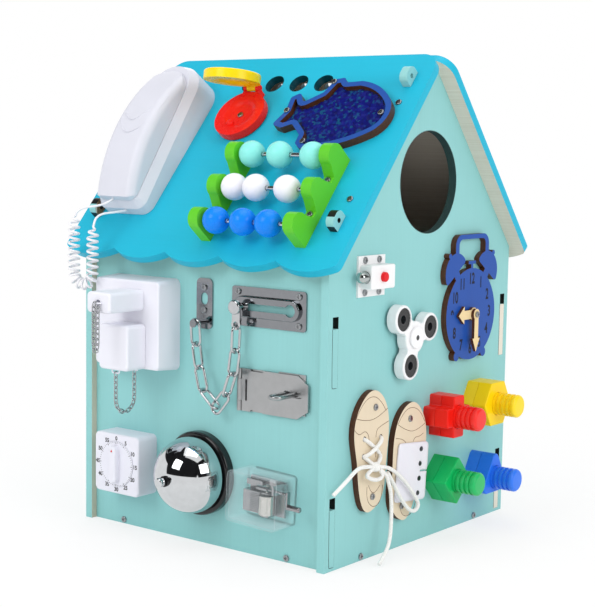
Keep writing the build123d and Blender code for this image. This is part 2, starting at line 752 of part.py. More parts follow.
def phone_handset():
    """Handset with an arched back and rounded shoulders, lying on the seat."""
    plan = Pos(0, HANDSET_SETBACK, RUN_GAP) * round_ended(HANDSET_WIDTH, HANDSET_LENGTH, HANDSET_CORNER)
    depth = 2 * HANDSET_CROWN
    section = Pos(0, HANDSET_CROWN - depth / 2) * Rectangle(HANDSET_WIDTH, depth)
    section = fillet(section.vertices().group_by(Axis.Y)[-1], HANDSET_SHOULDER)
    middle = HANDSET_SETBACK + HANDSET_APEX
    section = Plane(origin=(0, middle, 0), x_dir=(1, 0, 0), z_dir=(0, -1, 0)) * section
    arch = revolve(section, axis=Axis((0, middle, HANDSET_CROWN - HANDSET_ARC), (1, 0, 0)))
    beyond = 3 * HANDSET_ARC
    around = Pos(0, middle, HANDSET_CROWN - HANDSET_ARC) * Box(beyond, beyond, beyond) - arch
    return PHONE_SEAT * (extrude(plan, amount=depth) - around)


# Curly cord

def biarc(start, start_way, end, end_way):
    """Two tangent arcs between two points with given directions."""
    chord = end - start
    bend = 2 * (1 - start_way.dot(end_way))
    lean = chord.dot(start_way + end_way)
    reach = (math.sqrt(lean * lean + bend * chord.dot(chord)) - lean) / bend
    first = start + start_way * reach
    second = end - end_way * reach
    joint = (first + second) / 2
    way = (second - first).normalized()
    return [Edge.make_tangent_arc(start, start_way, joint), Edge.make_tangent_arc(joint, way, end)]


def curl_stations():
    """Points and directions at every half turn of the curls, down one limb, round the bend and up the other."""
    bend = (CORD_RIGHT_X - CORD_LEFT_X) / 2
    bend_z = CORD_BOTTOM + CURL_RADIUS + CORD_WIRE / 2 + bend
    limb = CORD_TOP - bend_z
    middle_x = (CORD_LEFT_X + CORD_RIGHT_X) / 2
    length = 2 * limb + math.pi * bend
    y = FRONT_Y - CORD_OUT

    def axis_at(run):
        if run < limb:
            return Vector(CORD_LEFT_X, y, CORD_TOP - run), Vector(-1, 0, 0)
        if run > length - limb:
            return Vector(CORD_RIGHT_X, y, bend_z + run - (length - limb)), Vector(1, 0, 0)
        angle = math.pi + (run - limb) / bend
        outward = Vector(math.cos(angle), 0, math.sin(angle))
        return Vector(middle_x, y, bend_z) + outward * bend, outward

    def wire_at(run):
        centre, outward = axis_at(run)
        turn = 2 * math.pi * CURLS * run / length
        return centre + outward * (CURL_RADIUS * math.cos(turn)) + Vector(0, CURL_RADIUS * math.sin(turn), 0)

    halves = 2 * CURLS
    step = length / halves
    nudge = step / halves
    stations = []
    for count in range(halves + 1):
        run = count * step
        way = (wire_at(run + nudge) - wire_at(run - nudge)).normalized()
        stations.append((wire_at(run), way))
    return stations


def curly_cord():
    """One unbroken wire: out of the handset, through the curls and back into the base."""
    out_of_phone = (PHONE_SEAT * Location((0, -1, 0))).position - PHONE_SEAT.position
    handset_end = (PHONE_SEAT * Pos(HANDSET_CORD_SHIFT, HANDSET_SETBACK - JOINT_GAP, HANDSET_CORD_RISE)).position
    base_end = (PHONE_SEAT * Pos(BASE_CORD_SHIFT, 0, -BASE_CORD_DEPTH)).position
    y = FRONT_Y - CORD_OUT
    down = Vector(0, 0, -1)
    stations = [(handset_end + out_of_phone * CORD_WIRE, out_of_phone)]
    stations.append((Vector(CORD_LEFT_X, y, CORD_TOP + CORD_LEAD), down))
    stations += curl_stations()
    stations.append((Vector(CORD_RIGHT_X, y, CORD_TOP + CORD_LEAD), -down))
    stations.append((base_end + out_of_phone * CORD_WIRE, -out_of_phone))
    edges = [Edge.make_line(handset_end, stations[0][0])]
    for (start, start_way), (end, end_way) in zip(stations, stations[1:]):
        edges += biarc(start, start_way, end, end_way)
    edges.append(Edge.make_line(stations[-1][0], base_end))
    return Wire(edges)


def least_self_gap(path, wire):
    """Least distance between stretches of a wire that are more than a turn's third apart along it."""
    apart = 2 * CURL_RADIUS
    points = []
    run = 0
    for edge in path.edges():
        parts = max(2, round(edge.length / wire * 2))
        for part in range(parts):
            points.append((run + edge.length * part / parts, edge @ (part / parts)))
        run += edge.length
    least = apart
    for count, (here, point) in enumerate(points):
        for there, other in points[count + 1:]:
            if there - here > apart:
                least = min(least, (point - other).length)
    return least - wire


# Castanet

CASTANET_HINGE = on_roof(CASTANET_X, CASTANET_DROP - CASTANET_HINGE_REACH, CASTANET_SHELL + CASTANET_GAP / 2)


def castanet_shell():
    """Round shell with a dished face at its top, standing on its plane."""
    shell = Cylinder(CASTANET / 2, CASTANET_SHELL, align=BASE_AT_ZERO)
    shell = fillet(shell.edges().sort_by(Axis.Z)[0], CASTANET_EDGE)
    dish = Cone(CASTANET_DISH_FLOOR / 2, CASTANET_DISH / 2, CASTANET_DISH_DEPTH, align=TOP_AT_ZERO)
    return shell - Pos(0, 0, CASTANET_SHELL) * dish


def castanet_base():
    """Fixed shell with two lugs, the hinge pin across them and the striking bump."""
    place = on_roof(CASTANET_X, CASTANET_DROP)
    shell = place * castanet_shell()
    bump_depth = CASTANET_BUMP / 2 - CASTANET_BUMP_RISE
    shell += place * Pos(-CASTANET_BUMP_LEFT, -CASTANET_BUMP_DOWN, CASTANET_SHELL - bump_depth) * Sphere(CASTANET_BUMP / 2)
    reach = CASTANET_HINGE_REACH - CASTANET / 2 + CASTANET_KNUCKLE
    height = CASTANET_SHELL + CASTANET_GAP / 2
    lug = Pos(0, -reach / 2, -height / 2) * Box(CASTANET_LUG, reach, height)
    lug += rod_along_x(CASTANET_KNUCKLE, CASTANET_LUG)
    spread = CASTANET_KNUCKLE_WIDTH / 2 + RUN_GAP + CASTANET_LUG / 2
    for shift in (-spread, spread):
        shell += CASTANET_HINGE * Pos(shift, 0, 0) * lug
    shell += CASTANET_HINGE * rod_along_x(CASTANET_PIN, 2 * spread)
    return shell - pilots(castanet_screws)


def castanet_clapper():
    """Loose shell with the middle knuckle, standing open on its hinge."""
    shell = Pos(0, -CASTANET_HINGE_REACH, CASTANET_GAP / 2 + CASTANET_SHELL) * Rot(X=180) * castanet_shell()
    reach = CASTANET_HINGE_REACH - CASTANET / 2 + CASTANET_KNUCKLE
    arm_height = CASTANET_KNUCKLE / 2 + CASTANET_GAP
    arm = Pos(0, -reach / 2, CASTANET_GAP / 2) * Box(CASTANET_KNUCKLE_WIDTH, reach, arm_height, align=BASE_AT_ZERO)
    arm += rod_along_x(CASTANET_KNUCKLE, CASTANET_KNUCKLE_WIDTH)
    arm -= rod_along_x(CASTANET_PIN + 2 * PIN_GAP, CASTANET_KNUCKLE_WIDTH + OVERRUN)
    return CASTANET_HINGE * Rot(X=-CASTANET_OPEN_DEGREES) * (shell + arm)


# Abacus

BRACKET_INNER_LEFT = BRACKET_LEFT_X + BRACKET_PLY / 2
BRACKET_INNER_RIGHT = BRACKET_RIGHT_X - BRACKET_PLY / 2
ROD_DROPS = [ROD_TOP_DROP + row * ROD_PITCH for row in range(len(BEAD_ROWS))]


def abacus_bracket(x):
    """Plate standing on the roof: one round lobe for each rod, and a screw in each valley."""
    valley = ROD_PITCH / 2
    profile = outline([
        (ROD_DROPS[0] - LOBE_RADIUS, 0), (ROD_DROPS[0] - LOBE_RADIUS, BRACKET_VALLEY),
        (ROD_DROPS[-1] + LOBE_RADIUS, BRACKET_VALLEY), (ROD_DROPS[-1] + LOBE_RADIUS, 0),
    ])
    for row, drop in enumerate(ROD_DROPS):
        above = LOBE_RADIUS if row == 0 else valley - SCREW_HEAD / 2
        below = LOBE_RADIUS if row == len(ROD_DROPS) - 1 else valley - SCREW_HEAD / 2
        profile += outline([
            (drop - above, BRACKET_VALLEY), (drop - LOBE_RADIUS, LOBE_RISE),
            (drop + LOBE_RADIUS, LOBE_RISE), (drop + below, BRACKET_VALLEY),
        ])
        profile += Pos(drop, LOBE_RISE) * Circle(LOBE_RADIUS)
    return extrude(roof_side(x) * profile, amount=BRACKET_PLY / 2, both=True)


def abacus_rods(gap=0):
    """Three rods, or their blind holes when given a gap."""
    length = BRACKET_INNER_RIGHT - BRACKET_INNER_LEFT + 2 * (ROD_SEAT + gap)
    middle = (BRACKET_INNER_LEFT + BRACKET_INNER_RIGHT) / 2
    return [on_roof(middle, drop, ROD_RISE) * rod_along_x(ROD + 2 * gap, length) for drop in ROD_DROPS]


def bead(row, count):
    x = BRACKET_INNER_LEFT + BEAD_PLACE_SHARES[row][count] * (BRACKET_INNER_RIGHT - BRACKET_INNER_LEFT)
    ball = Sphere(BEAD / 2) - rod_along_x(BEAD_BORE, BEAD + OVERRUN)
    return on_roof(x, ROD_DROPS[row], ROD_RISE) * ball


# Whale

def whale_outline():
    """Tail and fins with soft corners, and a head of three arcs that run into one another."""
    def at(share):
        return (share[0] * WHALE_WIDTH, share[1] * WHALE_HEIGHT)

    tail = [at(share) for share in WHALE_TAIL_SHARES]
    brow = ThreePointArc(tail[-1], at(WHALE_BROW_SHARE), at(WHALE_NOSE_SHARE))
    nose = TangentArc(at(WHALE_NOSE_SHARE), at(WHALE_CHIN_SHARE), tangent=brow % 1)
    belly = TangentArc(at(WHALE_CHIN_SHARE), tail[0], tangent=nose % 1)
    face = make_face([Polyline(*tail), brow, nose, belly])
    return fillet([corner for corner in face.vertices() if corner.X < tail[-1][0] - WHALE_ROUND], WHALE_ROUND)


def whale_field():
    return offset(whale_outline(), amount=-WHALE_RIM, kind=Kind.ARC)


WHALE_PLACE = on_roof(WHALE_X, WHALE_DROP)


def whale_frame():
    rim = WHALE_PLACE * extrude(whale_outline() - whale_field(), amount=WHALE_PLY)
    return rim - pilots(whale_screws)


def whale_sequins():
    pad = WHALE_PLACE * extrude(offset(whale_field(), amount=-JOINT_GAP), amount=SEQUIN_PAD)
    return pad - pilots(whale_screws)


# Wall socket, plugs and their chains

SOCKET_FACE_PINS = {
    "two": [(-PIN_SPREAD / 2, 0, 0), (PIN_SPREAD / 2, 0, 0)],
    "three": [(-PIN_SPREAD / 2, -EARTH_PIN_RISE / 2, 30), (PIN_SPREAD / 2, -EARTH_PIN_RISE / 2, -30),
              (0, EARTH_PIN_RISE / 2, 0)],
}


def plug_pins(kind, x, z, gap=0):
    """Flat pins that run from a plug into the socket, or their pockets when given a gap."""
    start = RUN_GAP + OVERRUN
    pin = Pos(0, 0, start) * Box(PIN_THICKNESS + 2 * gap, PIN_WIDTH + 2 * gap, start + PIN_LENGTH + gap, align=TOP_AT_ZERO)
    place = on_front(x, z, SOCKET_DEPTH)
    return [place * Pos(u, v, 0) * Rot(Z=turn) * pin for u, v, turn in SOCKET_FACE_PINS[kind]]


def eyelet():
    """Wire eye: two legs rooted in a face, joined by a bar along the first axis."""
    half = EYELET_WIDTH / 2
    corners = ((-half, 0, -OVERRUN), (-half, 0, EYELET_REACH), (half, 0, EYELET_REACH), (half, 0, -OVERRUN))
    return tube(FilletPolyline(*corners, radius=EYELET_BEND), EYELET_WIRE)


LOW_CHAIN_OUT = SOCKET_DEPTH + RUN_GAP + THREE_PIN_DEPTH - LOW_CHAIN_INSET
LOW_CHAIN_TOP = THREE_PIN_Z - THREE_PIN_HEIGHT / 2


def hanging_eyelet(out):
    """Eyelet under the lower plug or under the socket, at a distance from the wall."""
    return Plane(origin=(THREE_PIN_X, FRONT_Y - out, LOW_CHAIN_TOP), x_dir=(1, 0, 0), z_dir=(0, 0, -1)).location * eyelet()


def socket_box():
    """Tapered box with pockets for the pins of both plugs and an eyelet for the lower chain."""
    body = extrude(RectangleRounded(SOCKET, SOCKET, SOCKET_CORNER), amount=SOCKET_DEPTH, taper=SOCKET_DRAFT_DEGREES)
    body = on_front(SOCKET_X, SOCKET_Z) * fillet(body.edges().group_by(Axis.Z)[-1], SOCKET_EDGE)
    body -= plug_pins("two", TWO_PIN_X, TWO_PIN_Z, PIN_CLEARANCE)
    body -= plug_pins("three", THREE_PIN_X, THREE_PIN_Z, PIN_CLEARANCE)
    return body + hanging_eyelet(LOW_CHAIN_OUT - LOW_CHAIN_SPREAD)


def two_pin_plug():
    body = block(TWO_PIN_WIDTH, TWO_PIN_HEIGHT, TWO_PIN_DEPTH, PLUG_CORNER, PLUG_EDGE)
    body -= Pos(0, 0, TWO_PIN_DEPTH) * Cylinder(PLUG_EYE / 2, PLUG_EYE_DEPTH, align=TOP_AT_ZERO)
    body += Pos(0, 0, TWO_PIN_DEPTH) * eyelet()
    return on_front(TWO_PIN_X, TWO_PIN_Z, SOCKET_DEPTH + RUN_GAP) * body + plug_pins("two", TWO_PIN_X, TWO_PIN_Z)


def three_pin_plug():
    body = block(THREE_PIN_WIDTH, THREE_PIN_HEIGHT, THREE_PIN_DEPTH, PLUG_CORNER, PLUG_EDGE)
    body = on_front(THREE_PIN_X, THREE_PIN_Z, SOCKET_DEPTH + RUN_GAP) * body
    return body + plug_pins("three", THREE_PIN_X, THREE_PIN_Z) + hanging_eyelet(LOW_CHAIN_OUT)


def chain_links(place, joints, link, flat_first):
    """Oval links between neighbouring joints, each turned a quarter about its length from the one before."""
    links = []
    for count, ((u, v), (next_u, next_v)) in enumerate(zip(joints, joints[1:])):
        angle = math.degrees(math.atan2(next_v - v, next_u - u))
        roll = 0 if (count % 2 == 0) == flat_first else 90
        links.append(place * Pos((u + next_u) / 2, (v + next_v) / 2, 0) * Rot(Z=angle) * Rot(X=roll) * link)
    return links


PLUG_LINK_PITCH = PLUG_LINK_LENGTH - 2 * PLUG_LINK_WIRE - PLUG_LINK_SLACK


def high_plug_chain():
    """Narrow loop that hangs with both ends on the eyelet of the upper plug."""
    link = stadium_link(PLUG_LINK_LENGTH, PLUG_LINK_WIDTH, PLUG_LINK_WIRE)
    place = on_front(TWO_PIN_X, TWO_PIN_Z, SOCKET_DEPTH + RUN_GAP + TWO_PIN_DEPTH + EYELET_REACH)
    halves = [HIGH_CHAIN_TOP] + [HIGH_CHAIN_HALF] * (HIGH_CHAIN_LINKS - 1) + [HIGH_CHAIN_FOOT]
    height = EYELET_WIRE / 2
    limb = [(halves[0], height)]
    for here, there in zip(halves, halves[1:]):
        height -= math.sqrt(PLUG_LINK_PITCH * PLUG_LINK_PITCH - (there - here) * (there - here))
        limb.append((there, height))
    links = chain_links(place, limb, link, False)
    links += chain_links(place, [(-u, v) for u, v in limb], link, False)
    return links + [place * Pos(0, height - HIGH_CHAIN_SAG, 0) * link]


def low_plug_chain():
    """Slack loop from the socket to the lower plug."""
    link = stadium_link(PLUG_LINK_LENGTH, PLUG_LINK_WIDTH, PLUG_LINK_WIRE)
    radius = LOW_CHAIN_SPREAD / 2
    limb = (LOW_CHAIN_LINKS * PLUG_LINK_PITCH - math.pi * radius) / 2
    joints = []
    for count in range(LOW_CHAIN_LINKS + 1):
        run = count * PLUG_LINK_PITCH
        if run < limb:
            joints.append((-radius, -run))
        elif run > limb + math.pi * radius:
            joints.append((radius, run - 2 * limb - math.pi * radius))
        else:
            angle = math.pi + (run - limb) / radius
            joints.append((radius * math.cos(angle), radius * math.sin(angle) - limb))
    top = LOW_CHAIN_TOP - EYELET_REACH + EYELET_WIRE / 2
    middle = Plane(origin=(THREE_PIN_X, FRONT_Y - LOW_CHAIN_OUT + radius, top), x_dir=(0, -1, 0), z_dir=(-1, 0, 0))
    return chain_links(middle.location, joints, link, True)


# Door chain

PEG_X = ANCHOR_X + ANCHOR_PEG_SHIFT
PEG_Z = ANCHOR_Z - ANCHOR_PEG_DROP
EYE_Z = TRACK_Z - SLIDER_STRAP_DROP
TRACK_MIDDLE = TRACK_START + TRACK_TRAVEL / 2


def anchor_plate():
    """Plate with an oblong hole, two screws and the headed peg that carries the left half of the chain."""
    hole = Pos(0, ANCHOR_HOLE_RISE) * Rot(Z=90) * SlotOverall(ANCHOR_HOLE_HEIGHT, ANCHOR_HOLE_WIDTH)
    plate = extrude(RectangleRounded(ANCHOR_WIDTH, ANCHOR_HEIGHT, ANCHOR_CORNER) - hole, amount=CHAIN_PLATE)
    head_out = CHAIN_OUT + LINK_WIRE / 2 + RUN_GAP
    peg = Cylinder(ANCHOR_PEG / 2, head_out, align=BASE_AT_ZERO)
    peg += Pos(0, 0, head_out) * Cylinder(ANCHOR_PEG_HEAD / 2, ANCHOR_PEG_HEAD_HEIGHT, align=BASE_AT_ZERO)
    return on_front(ANCHOR_X, ANCHOR_Z) * plate + on_front(PEG_X, PEG_Z) * peg - pilots(anchor_screws)


def track_plate():
    """Plate with a raised channel, slotted along its length and ending in a keyhole."""
    plate = on_front(TRACK_X, TRACK_Z) * extrude(RectangleRounded(TRACK_WIDTH, TRACK_HEIGHT, TRACK_CORNER), amount=CHAIN_PLATE)
    place = on_front(TRACK_MIDDLE, TRACK_Z)
    rim = extrude(SlotOverall(TRACK_TRAVEL + TRACK_RIM, TRACK_RIM), amount=TRACK_RIM_RISE)
    plate += place * fillet(rim.edges().group_by(Axis.Z)[-1], TRACK_RIM_EDGE)
    plate -= place * extrude(SlotOverall(TRACK_TRAVEL + TRACK_CHANNEL, TRACK_CHANNEL), amount=TRACK_CHANNEL_DEPTH)
    plate -= place * extrude(SlotOverall(TRACK_TRAVEL + TRACK_SLOT, TRACK_SLOT), amount=2 * TRACK_RIM_RISE)
    keyhole = Cylinder(TRACK_KEYHOLE / 2, 2 * TRACK_RIM_RISE, align=BASE_AT_ZERO)
    plate -= on_front(TRACK_START + TRACK_TRAVEL, TRACK_Z) * keyhole
    return plate - pilots(track_screws)


def chain_slider():
    """Flange in the channel, neck through the slot, strap with an eye in front of it and a knob on top."""
    strap_back = CHAIN_OUT - SLIDER_STRAP / 2
    strap_front = CHAIN_OUT + SLIDER_STRAP / 2
    flange = Pos(0, 0, SLIDER_FLANGE_OUT) * Cylinder(SLIDER_FLANGE / 2, SLIDER_FLANGE_THICKNESS, align=BASE_AT_ZERO)
    neck = Pos(0, 0, SLIDER_FLANGE_OUT) * Cylinder(SLIDER_NECK / 2, strap_front - SLIDER_FLANGE_OUT, align=BASE_AT_ZERO)
    eye_ring = SLIDER_STRAP_EYE / 2 + SLIDER_STRAP_EYE_EDGE
    strap = Pos(0, -SLIDER_STRAP_DROP / 2) * Rectangle(SLIDER_STRAP_WIDTH, SLIDER_STRAP_DROP)
    strap += Circle(SLIDER_STRAP_WIDTH / 2)
    strap += Pos(0, -SLIDER_STRAP_DROP) * Circle(eye_ring)
    strap -= Pos(0, -SLIDER_STRAP_DROP) * Circle(SLIDER_STRAP_EYE / 2)
    knob = Cylinder(SLIDER_KNOB / 2, SLIDER_KNOB_HEIGHT, align=BASE_AT_ZERO)
    knob = Pos(0, 0, strap_front) * fillet(knob.edges().group_by(Axis.Z)[-1], SLIDER_KNOB_ROUND)
    return on_front(TRACK_START, TRACK_Z) * (flange + neck + Pos(0, 0, strap_back) * extrude(strap, amount=SLIDER_STRAP) + knob)


def lean_joints(leans):
    joints = [(0, 0)]
    for lean in leans:
        u, v = joints[-1]
        turn = math.radians(lean)
        joints.append((u + LINK_PITCH * math.sin(turn), v - LINK_PITCH * math.cos(turn)))
    return joints


def door_chain_left():
    place = on_front(PEG_X, PEG_Z + ANCHOR_PEG / 2, CHAIN_OUT)
    return chain_links(place, lean_joints(LEFT_LINK_LEAN_DEGREES), stadium_link(LINK_LENGTH, LINK_WIDTH, LINK_WIRE), True)


def door_chain_right():
    place = on_front(TRACK_START, EYE_Z - SLIDER_STRAP_EYE / 2, CHAIN_OUT)
    return chain_links(place, lean_joints(RIGHT_LINK_LEAN_DEGREES), stadium_link(LINK_LENGTH, LINK_WIDTH, LINK_WIRE), False)


# Hasp and staple

MIDDLE_KNUCKLE = HASP_HEIGHT - 2 * HASP_LEAF_KNUCKLE
KNUCKLE_ROOM = HASP_KNUCKLE / 2 + 2 * RUN_GAP
STAPLE_PLACE = on_front(HASP_X + STAPLE_REACH, HASP_Z + STAPLE_LIFT)


def hasp_knuckle(height):
    return Pos(0, 0, HASP_KNUCKLE_OUT) * Rot(X=90) * Cylinder(HASP_KNUCKLE / 2, height)


def hasp_leaf():
    """Leaf screwed to the wall under the plate, with the outer knuckles and the pin."""
    leaf = Pos(HASP_LEAF_LENGTH / 2, 0, 0) * Box(HASP_LEAF_LENGTH, HASP_HEIGHT, HASP_LEAF, align=BASE_AT_ZERO)
    leaf -= Box(2 * KNUCKLE_ROOM, MIDDLE_KNUCKLE, HASP_KNUCKLE)
    shift = MIDDLE_KNUCKLE / 2 + HASP_LEAF_KNUCKLE / 2
    for side in (-shift, shift):
        leaf += Pos(0, side, 0) * hasp_knuckle(HASP_LEAF_KNUCKLE)
    leaf += Pos(0, 0, HASP_KNUCKLE_OUT) * Rot(X=90) * Cylinder(HASP_PIN / 2, HASP_HEIGHT)
    return on_front(HASP_X, HASP_Z) * leaf


def staple_path():
    half = STAPLE_SPREAD / 2
    crown = STAPLE_RISE - STAPLE_WIRE / 2
    return FilletPolyline((-half, 0, 0), (-half, 0, crown), (half, 0, crown), (half, 0, 0), radius=half - JOINT_GAP)


def staple():
    return STAPLE_PLACE * tube(staple_path(), STAPLE_WIRE)


def staple_base():
    plate = Box(STAPLE_BASE_LENGTH, STAPLE_BASE_HEIGHT, HASP_LEAF, align=BASE_AT_ZERO)
    for side in (-STAPLE_SPREAD / 2, STAPLE_SPREAD / 2):
        plate -= Pos(side, 0, 0) * Cylinder(STAPLE_WIRE / 2 + JOINT_GAP, HASP_KNUCKLE)
    return STAPLE_PLACE * plate


def hasp_plate():
    """Swinging plate with cut corners, a slit, two notches and the slot for the staple."""
    tall = HASP_HEIGHT / 2
    face = outline([
        (KNUCKLE_ROOM, -tall), (HASP_LENGTH - HASP_CHAMFER_LONG, -tall), (HASP_LENGTH, HASP_CHAMFER_TALL - tall),
        (HASP_LENGTH, tall - HASP_CHAMFER_TALL), (HASP_LENGTH - HASP_CHAMFER_LONG, tall), (KNUCKLE_ROOM, tall),
    ])
    middle = MIDDLE_KNUCKLE - 2 * RUN_GAP
    face += Pos(KNUCKLE_ROOM / 2, 0) * Rectangle(2 * KNUCKLE_ROOM, middle) - Rectangle(2 * KNUCKLE_ROOM, HASP_HEIGHT, align=(Align.MAX, Align.CENTER))
    face -= Pos(KNUCKLE_ROOM + HASP_SLIT_SETBACK, 0) * Rectangle(HASP_SLIT, HASP_SLIT_HEIGHT)
    notch = Rectangle(HASP_NOTCH_LENGTH, 2 * HASP_NOTCH_DEPTH)
    for side in (-tall, tall):
        face -= Pos(KNUCKLE_ROOM + HASP_NOTCH_SETBACK + HASP_NOTCH_LENGTH / 2, side) * notch
    slot_length = STAPLE_SLOT_END - STAPLE_SLOT_START
    face -= Pos((STAPLE_SLOT_START + STAPLE_SLOT_END) / 2, STAPLE_LIFT) * SlotOverall(slot_length, STAPLE_SLOT_HEIGHT)
    plate = Pos(0, 0, HASP_KNUCKLE_OUT - HASP_PLATE / 2) * extrude(face, amount=HASP_PLATE)
    plate += hasp_knuckle(middle)
    plate -= Pos(0, 0, HASP_KNUCKLE_OUT) * Rot(X=90) * Cylinder(HASP_PIN / 2 + PIN_GAP, HASP_HEIGHT)
    return on_front(HASP_X, HASP_Z) * plate


# Kitchen timer

DIAL_SINK = DIAL_THICKNESS - DIAL_PROUD


def timer_case():
    case = block(TIMER, TIMER, TIMER_DEPTH, TIMER_CORNER, TIMER_EDGE)
    case -= Pos(0, 0, TIMER_DEPTH) * Cylinder(DIAL / 2 + RUN_GAP, DIAL_SINK + RUN_GAP, align=TOP_AT_ZERO)
    bore = DIAL_SINK + DIAL_SHAFT_LENGTH + RUN_GAP
    case -= Pos(0, 0, TIMER_DEPTH) * Cylinder(DIAL_SHAFT / 2 + PIN_GAP, bore, align=TOP_AT_ZERO)
    return on_front(TIMER_X, TIMER_Z) * case


def timer_dial():
    """Dial with a grip bar across it and a shaft that turns in the case."""
    dial = Cylinder(DIAL / 2, DIAL_THICKNESS, align=TOP_AT_ZERO)
    grip = extrude(SlotOverall(GRIP_LENGTH, GRIP_WIDTH), amount=GRIP_RISE)
    dial += Rot(Z=90) * fillet(grip.edges().group_by(Axis.Z)[-1], GRIP_ROUND)
    dial += Pos(0, 0, -DIAL_THICKNESS) * Cylinder(DIAL_SHAFT / 2, DIAL_SHAFT_LENGTH, align=TOP_AT_ZERO)
    return on_front(TIMER_X, TIMER_Z, TIMER_DEPTH + DIAL_PROUD) * dial


# Counter bell

BELL_SEAT = BELL_BASE_DEPTH + BELL_LIFT + BELL_DOME_HEIGHT - BELL_WALL
BELL_TOP = BELL_SEAT + BELL_WALL + 2 * JOINT_GAP + BELL_NUT_HEIGHT
BELL_PLACE = on_front(BELL_X, BELL_Z)


def bell_base():
    """Foot, post, neck through the dome and the nut on top, bored for the stem of the plunger."""
    base = Cylinder(BELL_BASE / 2, BELL_BASE_DEPTH, align=BASE_AT_ZERO)
    base = fillet(base.edges().sort_by(Axis.Z)[-1], BELL_BASE_EDGE)
    base += Cylinder(BELL_POST / 2, BELL_SEAT - RUN_GAP, align=BASE_AT_ZERO)
    base += Cylinder(BELL_NECK / 2, BELL_TOP, align=BASE_AT_ZERO)
    base += Pos(0, 0, BELL_TOP) * Cylinder(BELL_NUT / 2, BELL_NUT_HEIGHT, align=TOP_AT_ZERO)
    depth = PLUNGER_STEM_LENGTH + RUN_GAP
    base -= Pos(0, 0, BELL_TOP) * Cylinder(PLUNGER_STEM / 2 + PIN_GAP, depth, align=TOP_AT_ZERO)
    return BELL_PLACE * base


def bell_cup(radius):
    """Half ball on a short straight skirt."""
    skirt = BELL_DOME_HEIGHT - BELL_DOME / 2
    ball = Pos(0, 0, skirt) * Sphere(radius) + Cylinder(radius, skirt, align=BASE_AT_ZERO)
    return ball - Box(3 * radius, 3 * radius, 3 * radius, align=TOP_AT_ZERO)


def bell_dome():
    dome = bell_cup(BELL_DOME / 2) - bell_cup(BELL_DOME / 2 - BELL_WALL)
    dome -= Cylinder(BELL_NECK / 2 + JOINT_GAP, 3 * BELL_DOME_HEIGHT)
    return BELL_PLACE * Pos(0, 0, BELL_BASE_DEPTH + BELL_LIFT) * dome


def bell_plunger():
    button = Cylinder(PLUNGER / 2, PLUNGER_RISE, align=BASE_AT_ZERO)
    button = fillet(button.edges().group_by(Axis.Z)[-1], PLUNGER_ROUND)
    lift = PLUNGER_TRAVEL + RUN_GAP
    button += Cylinder(PLUNGER_STEM / 2, lift + PLUNGER_STEM_LENGTH - PLUNGER_TRAVEL, align=TOP_AT_ZERO)
    return BELL_PLACE * Pos(0, 0, BELL_TOP + lift) * button


# Music box

MUSIC_PLACE = on_front(MUSIC_X, MUSIC_Z) * Rot(Z=MUSIC_TILT_DEGREES)
BED_TOP = BED_OUT + BED_THICKNESS
CRANK_OUT = MUSIC_DRUM_OUT + MUSIC_GEAR / 2 + RUN_GAP + MUSIC_WORM / 2
DRUM_FOOT = -MUSIC_DRUM_DROP - MUSIC_DRUM_HEIGHT / 2
DRUM_HEAD = DRUM_FOOT + MUSIC_DRUM_HEIGHT


def upright(diameter, length):
    """Round bar along the second axis, from the origin upwards."""
    return Rot(X=-90) * Cylinder(diameter / 2, length, align=BASE_AT_ZERO)


def music_case():
    """Clear cover, open towards the wall, with a hole for the crank in its right side."""
    case = extrude(RectangleRounded(MUSIC_WIDTH, MUSIC_HEIGHT, MUSIC_CORNER), amount=MUSIC_DEPTH)
    inner = RectangleRounded(MUSIC_WIDTH - 2 * MUSIC_WALL, MUSIC_HEIGHT - 2 * MUSIC_WALL, MUSIC_CORNER - MUSIC_WALL)
    case -= extrude(inner, amount=MUSIC_DEPTH - MUSIC_WALL)
    case -= Pos(MUSIC_WIDTH / 2, CRANK_RISE, CRANK_OUT) * rod_along_x(CRANK_HOLE, 3 * MUSIC_WALL)
    return MUSIC_PLACE * case


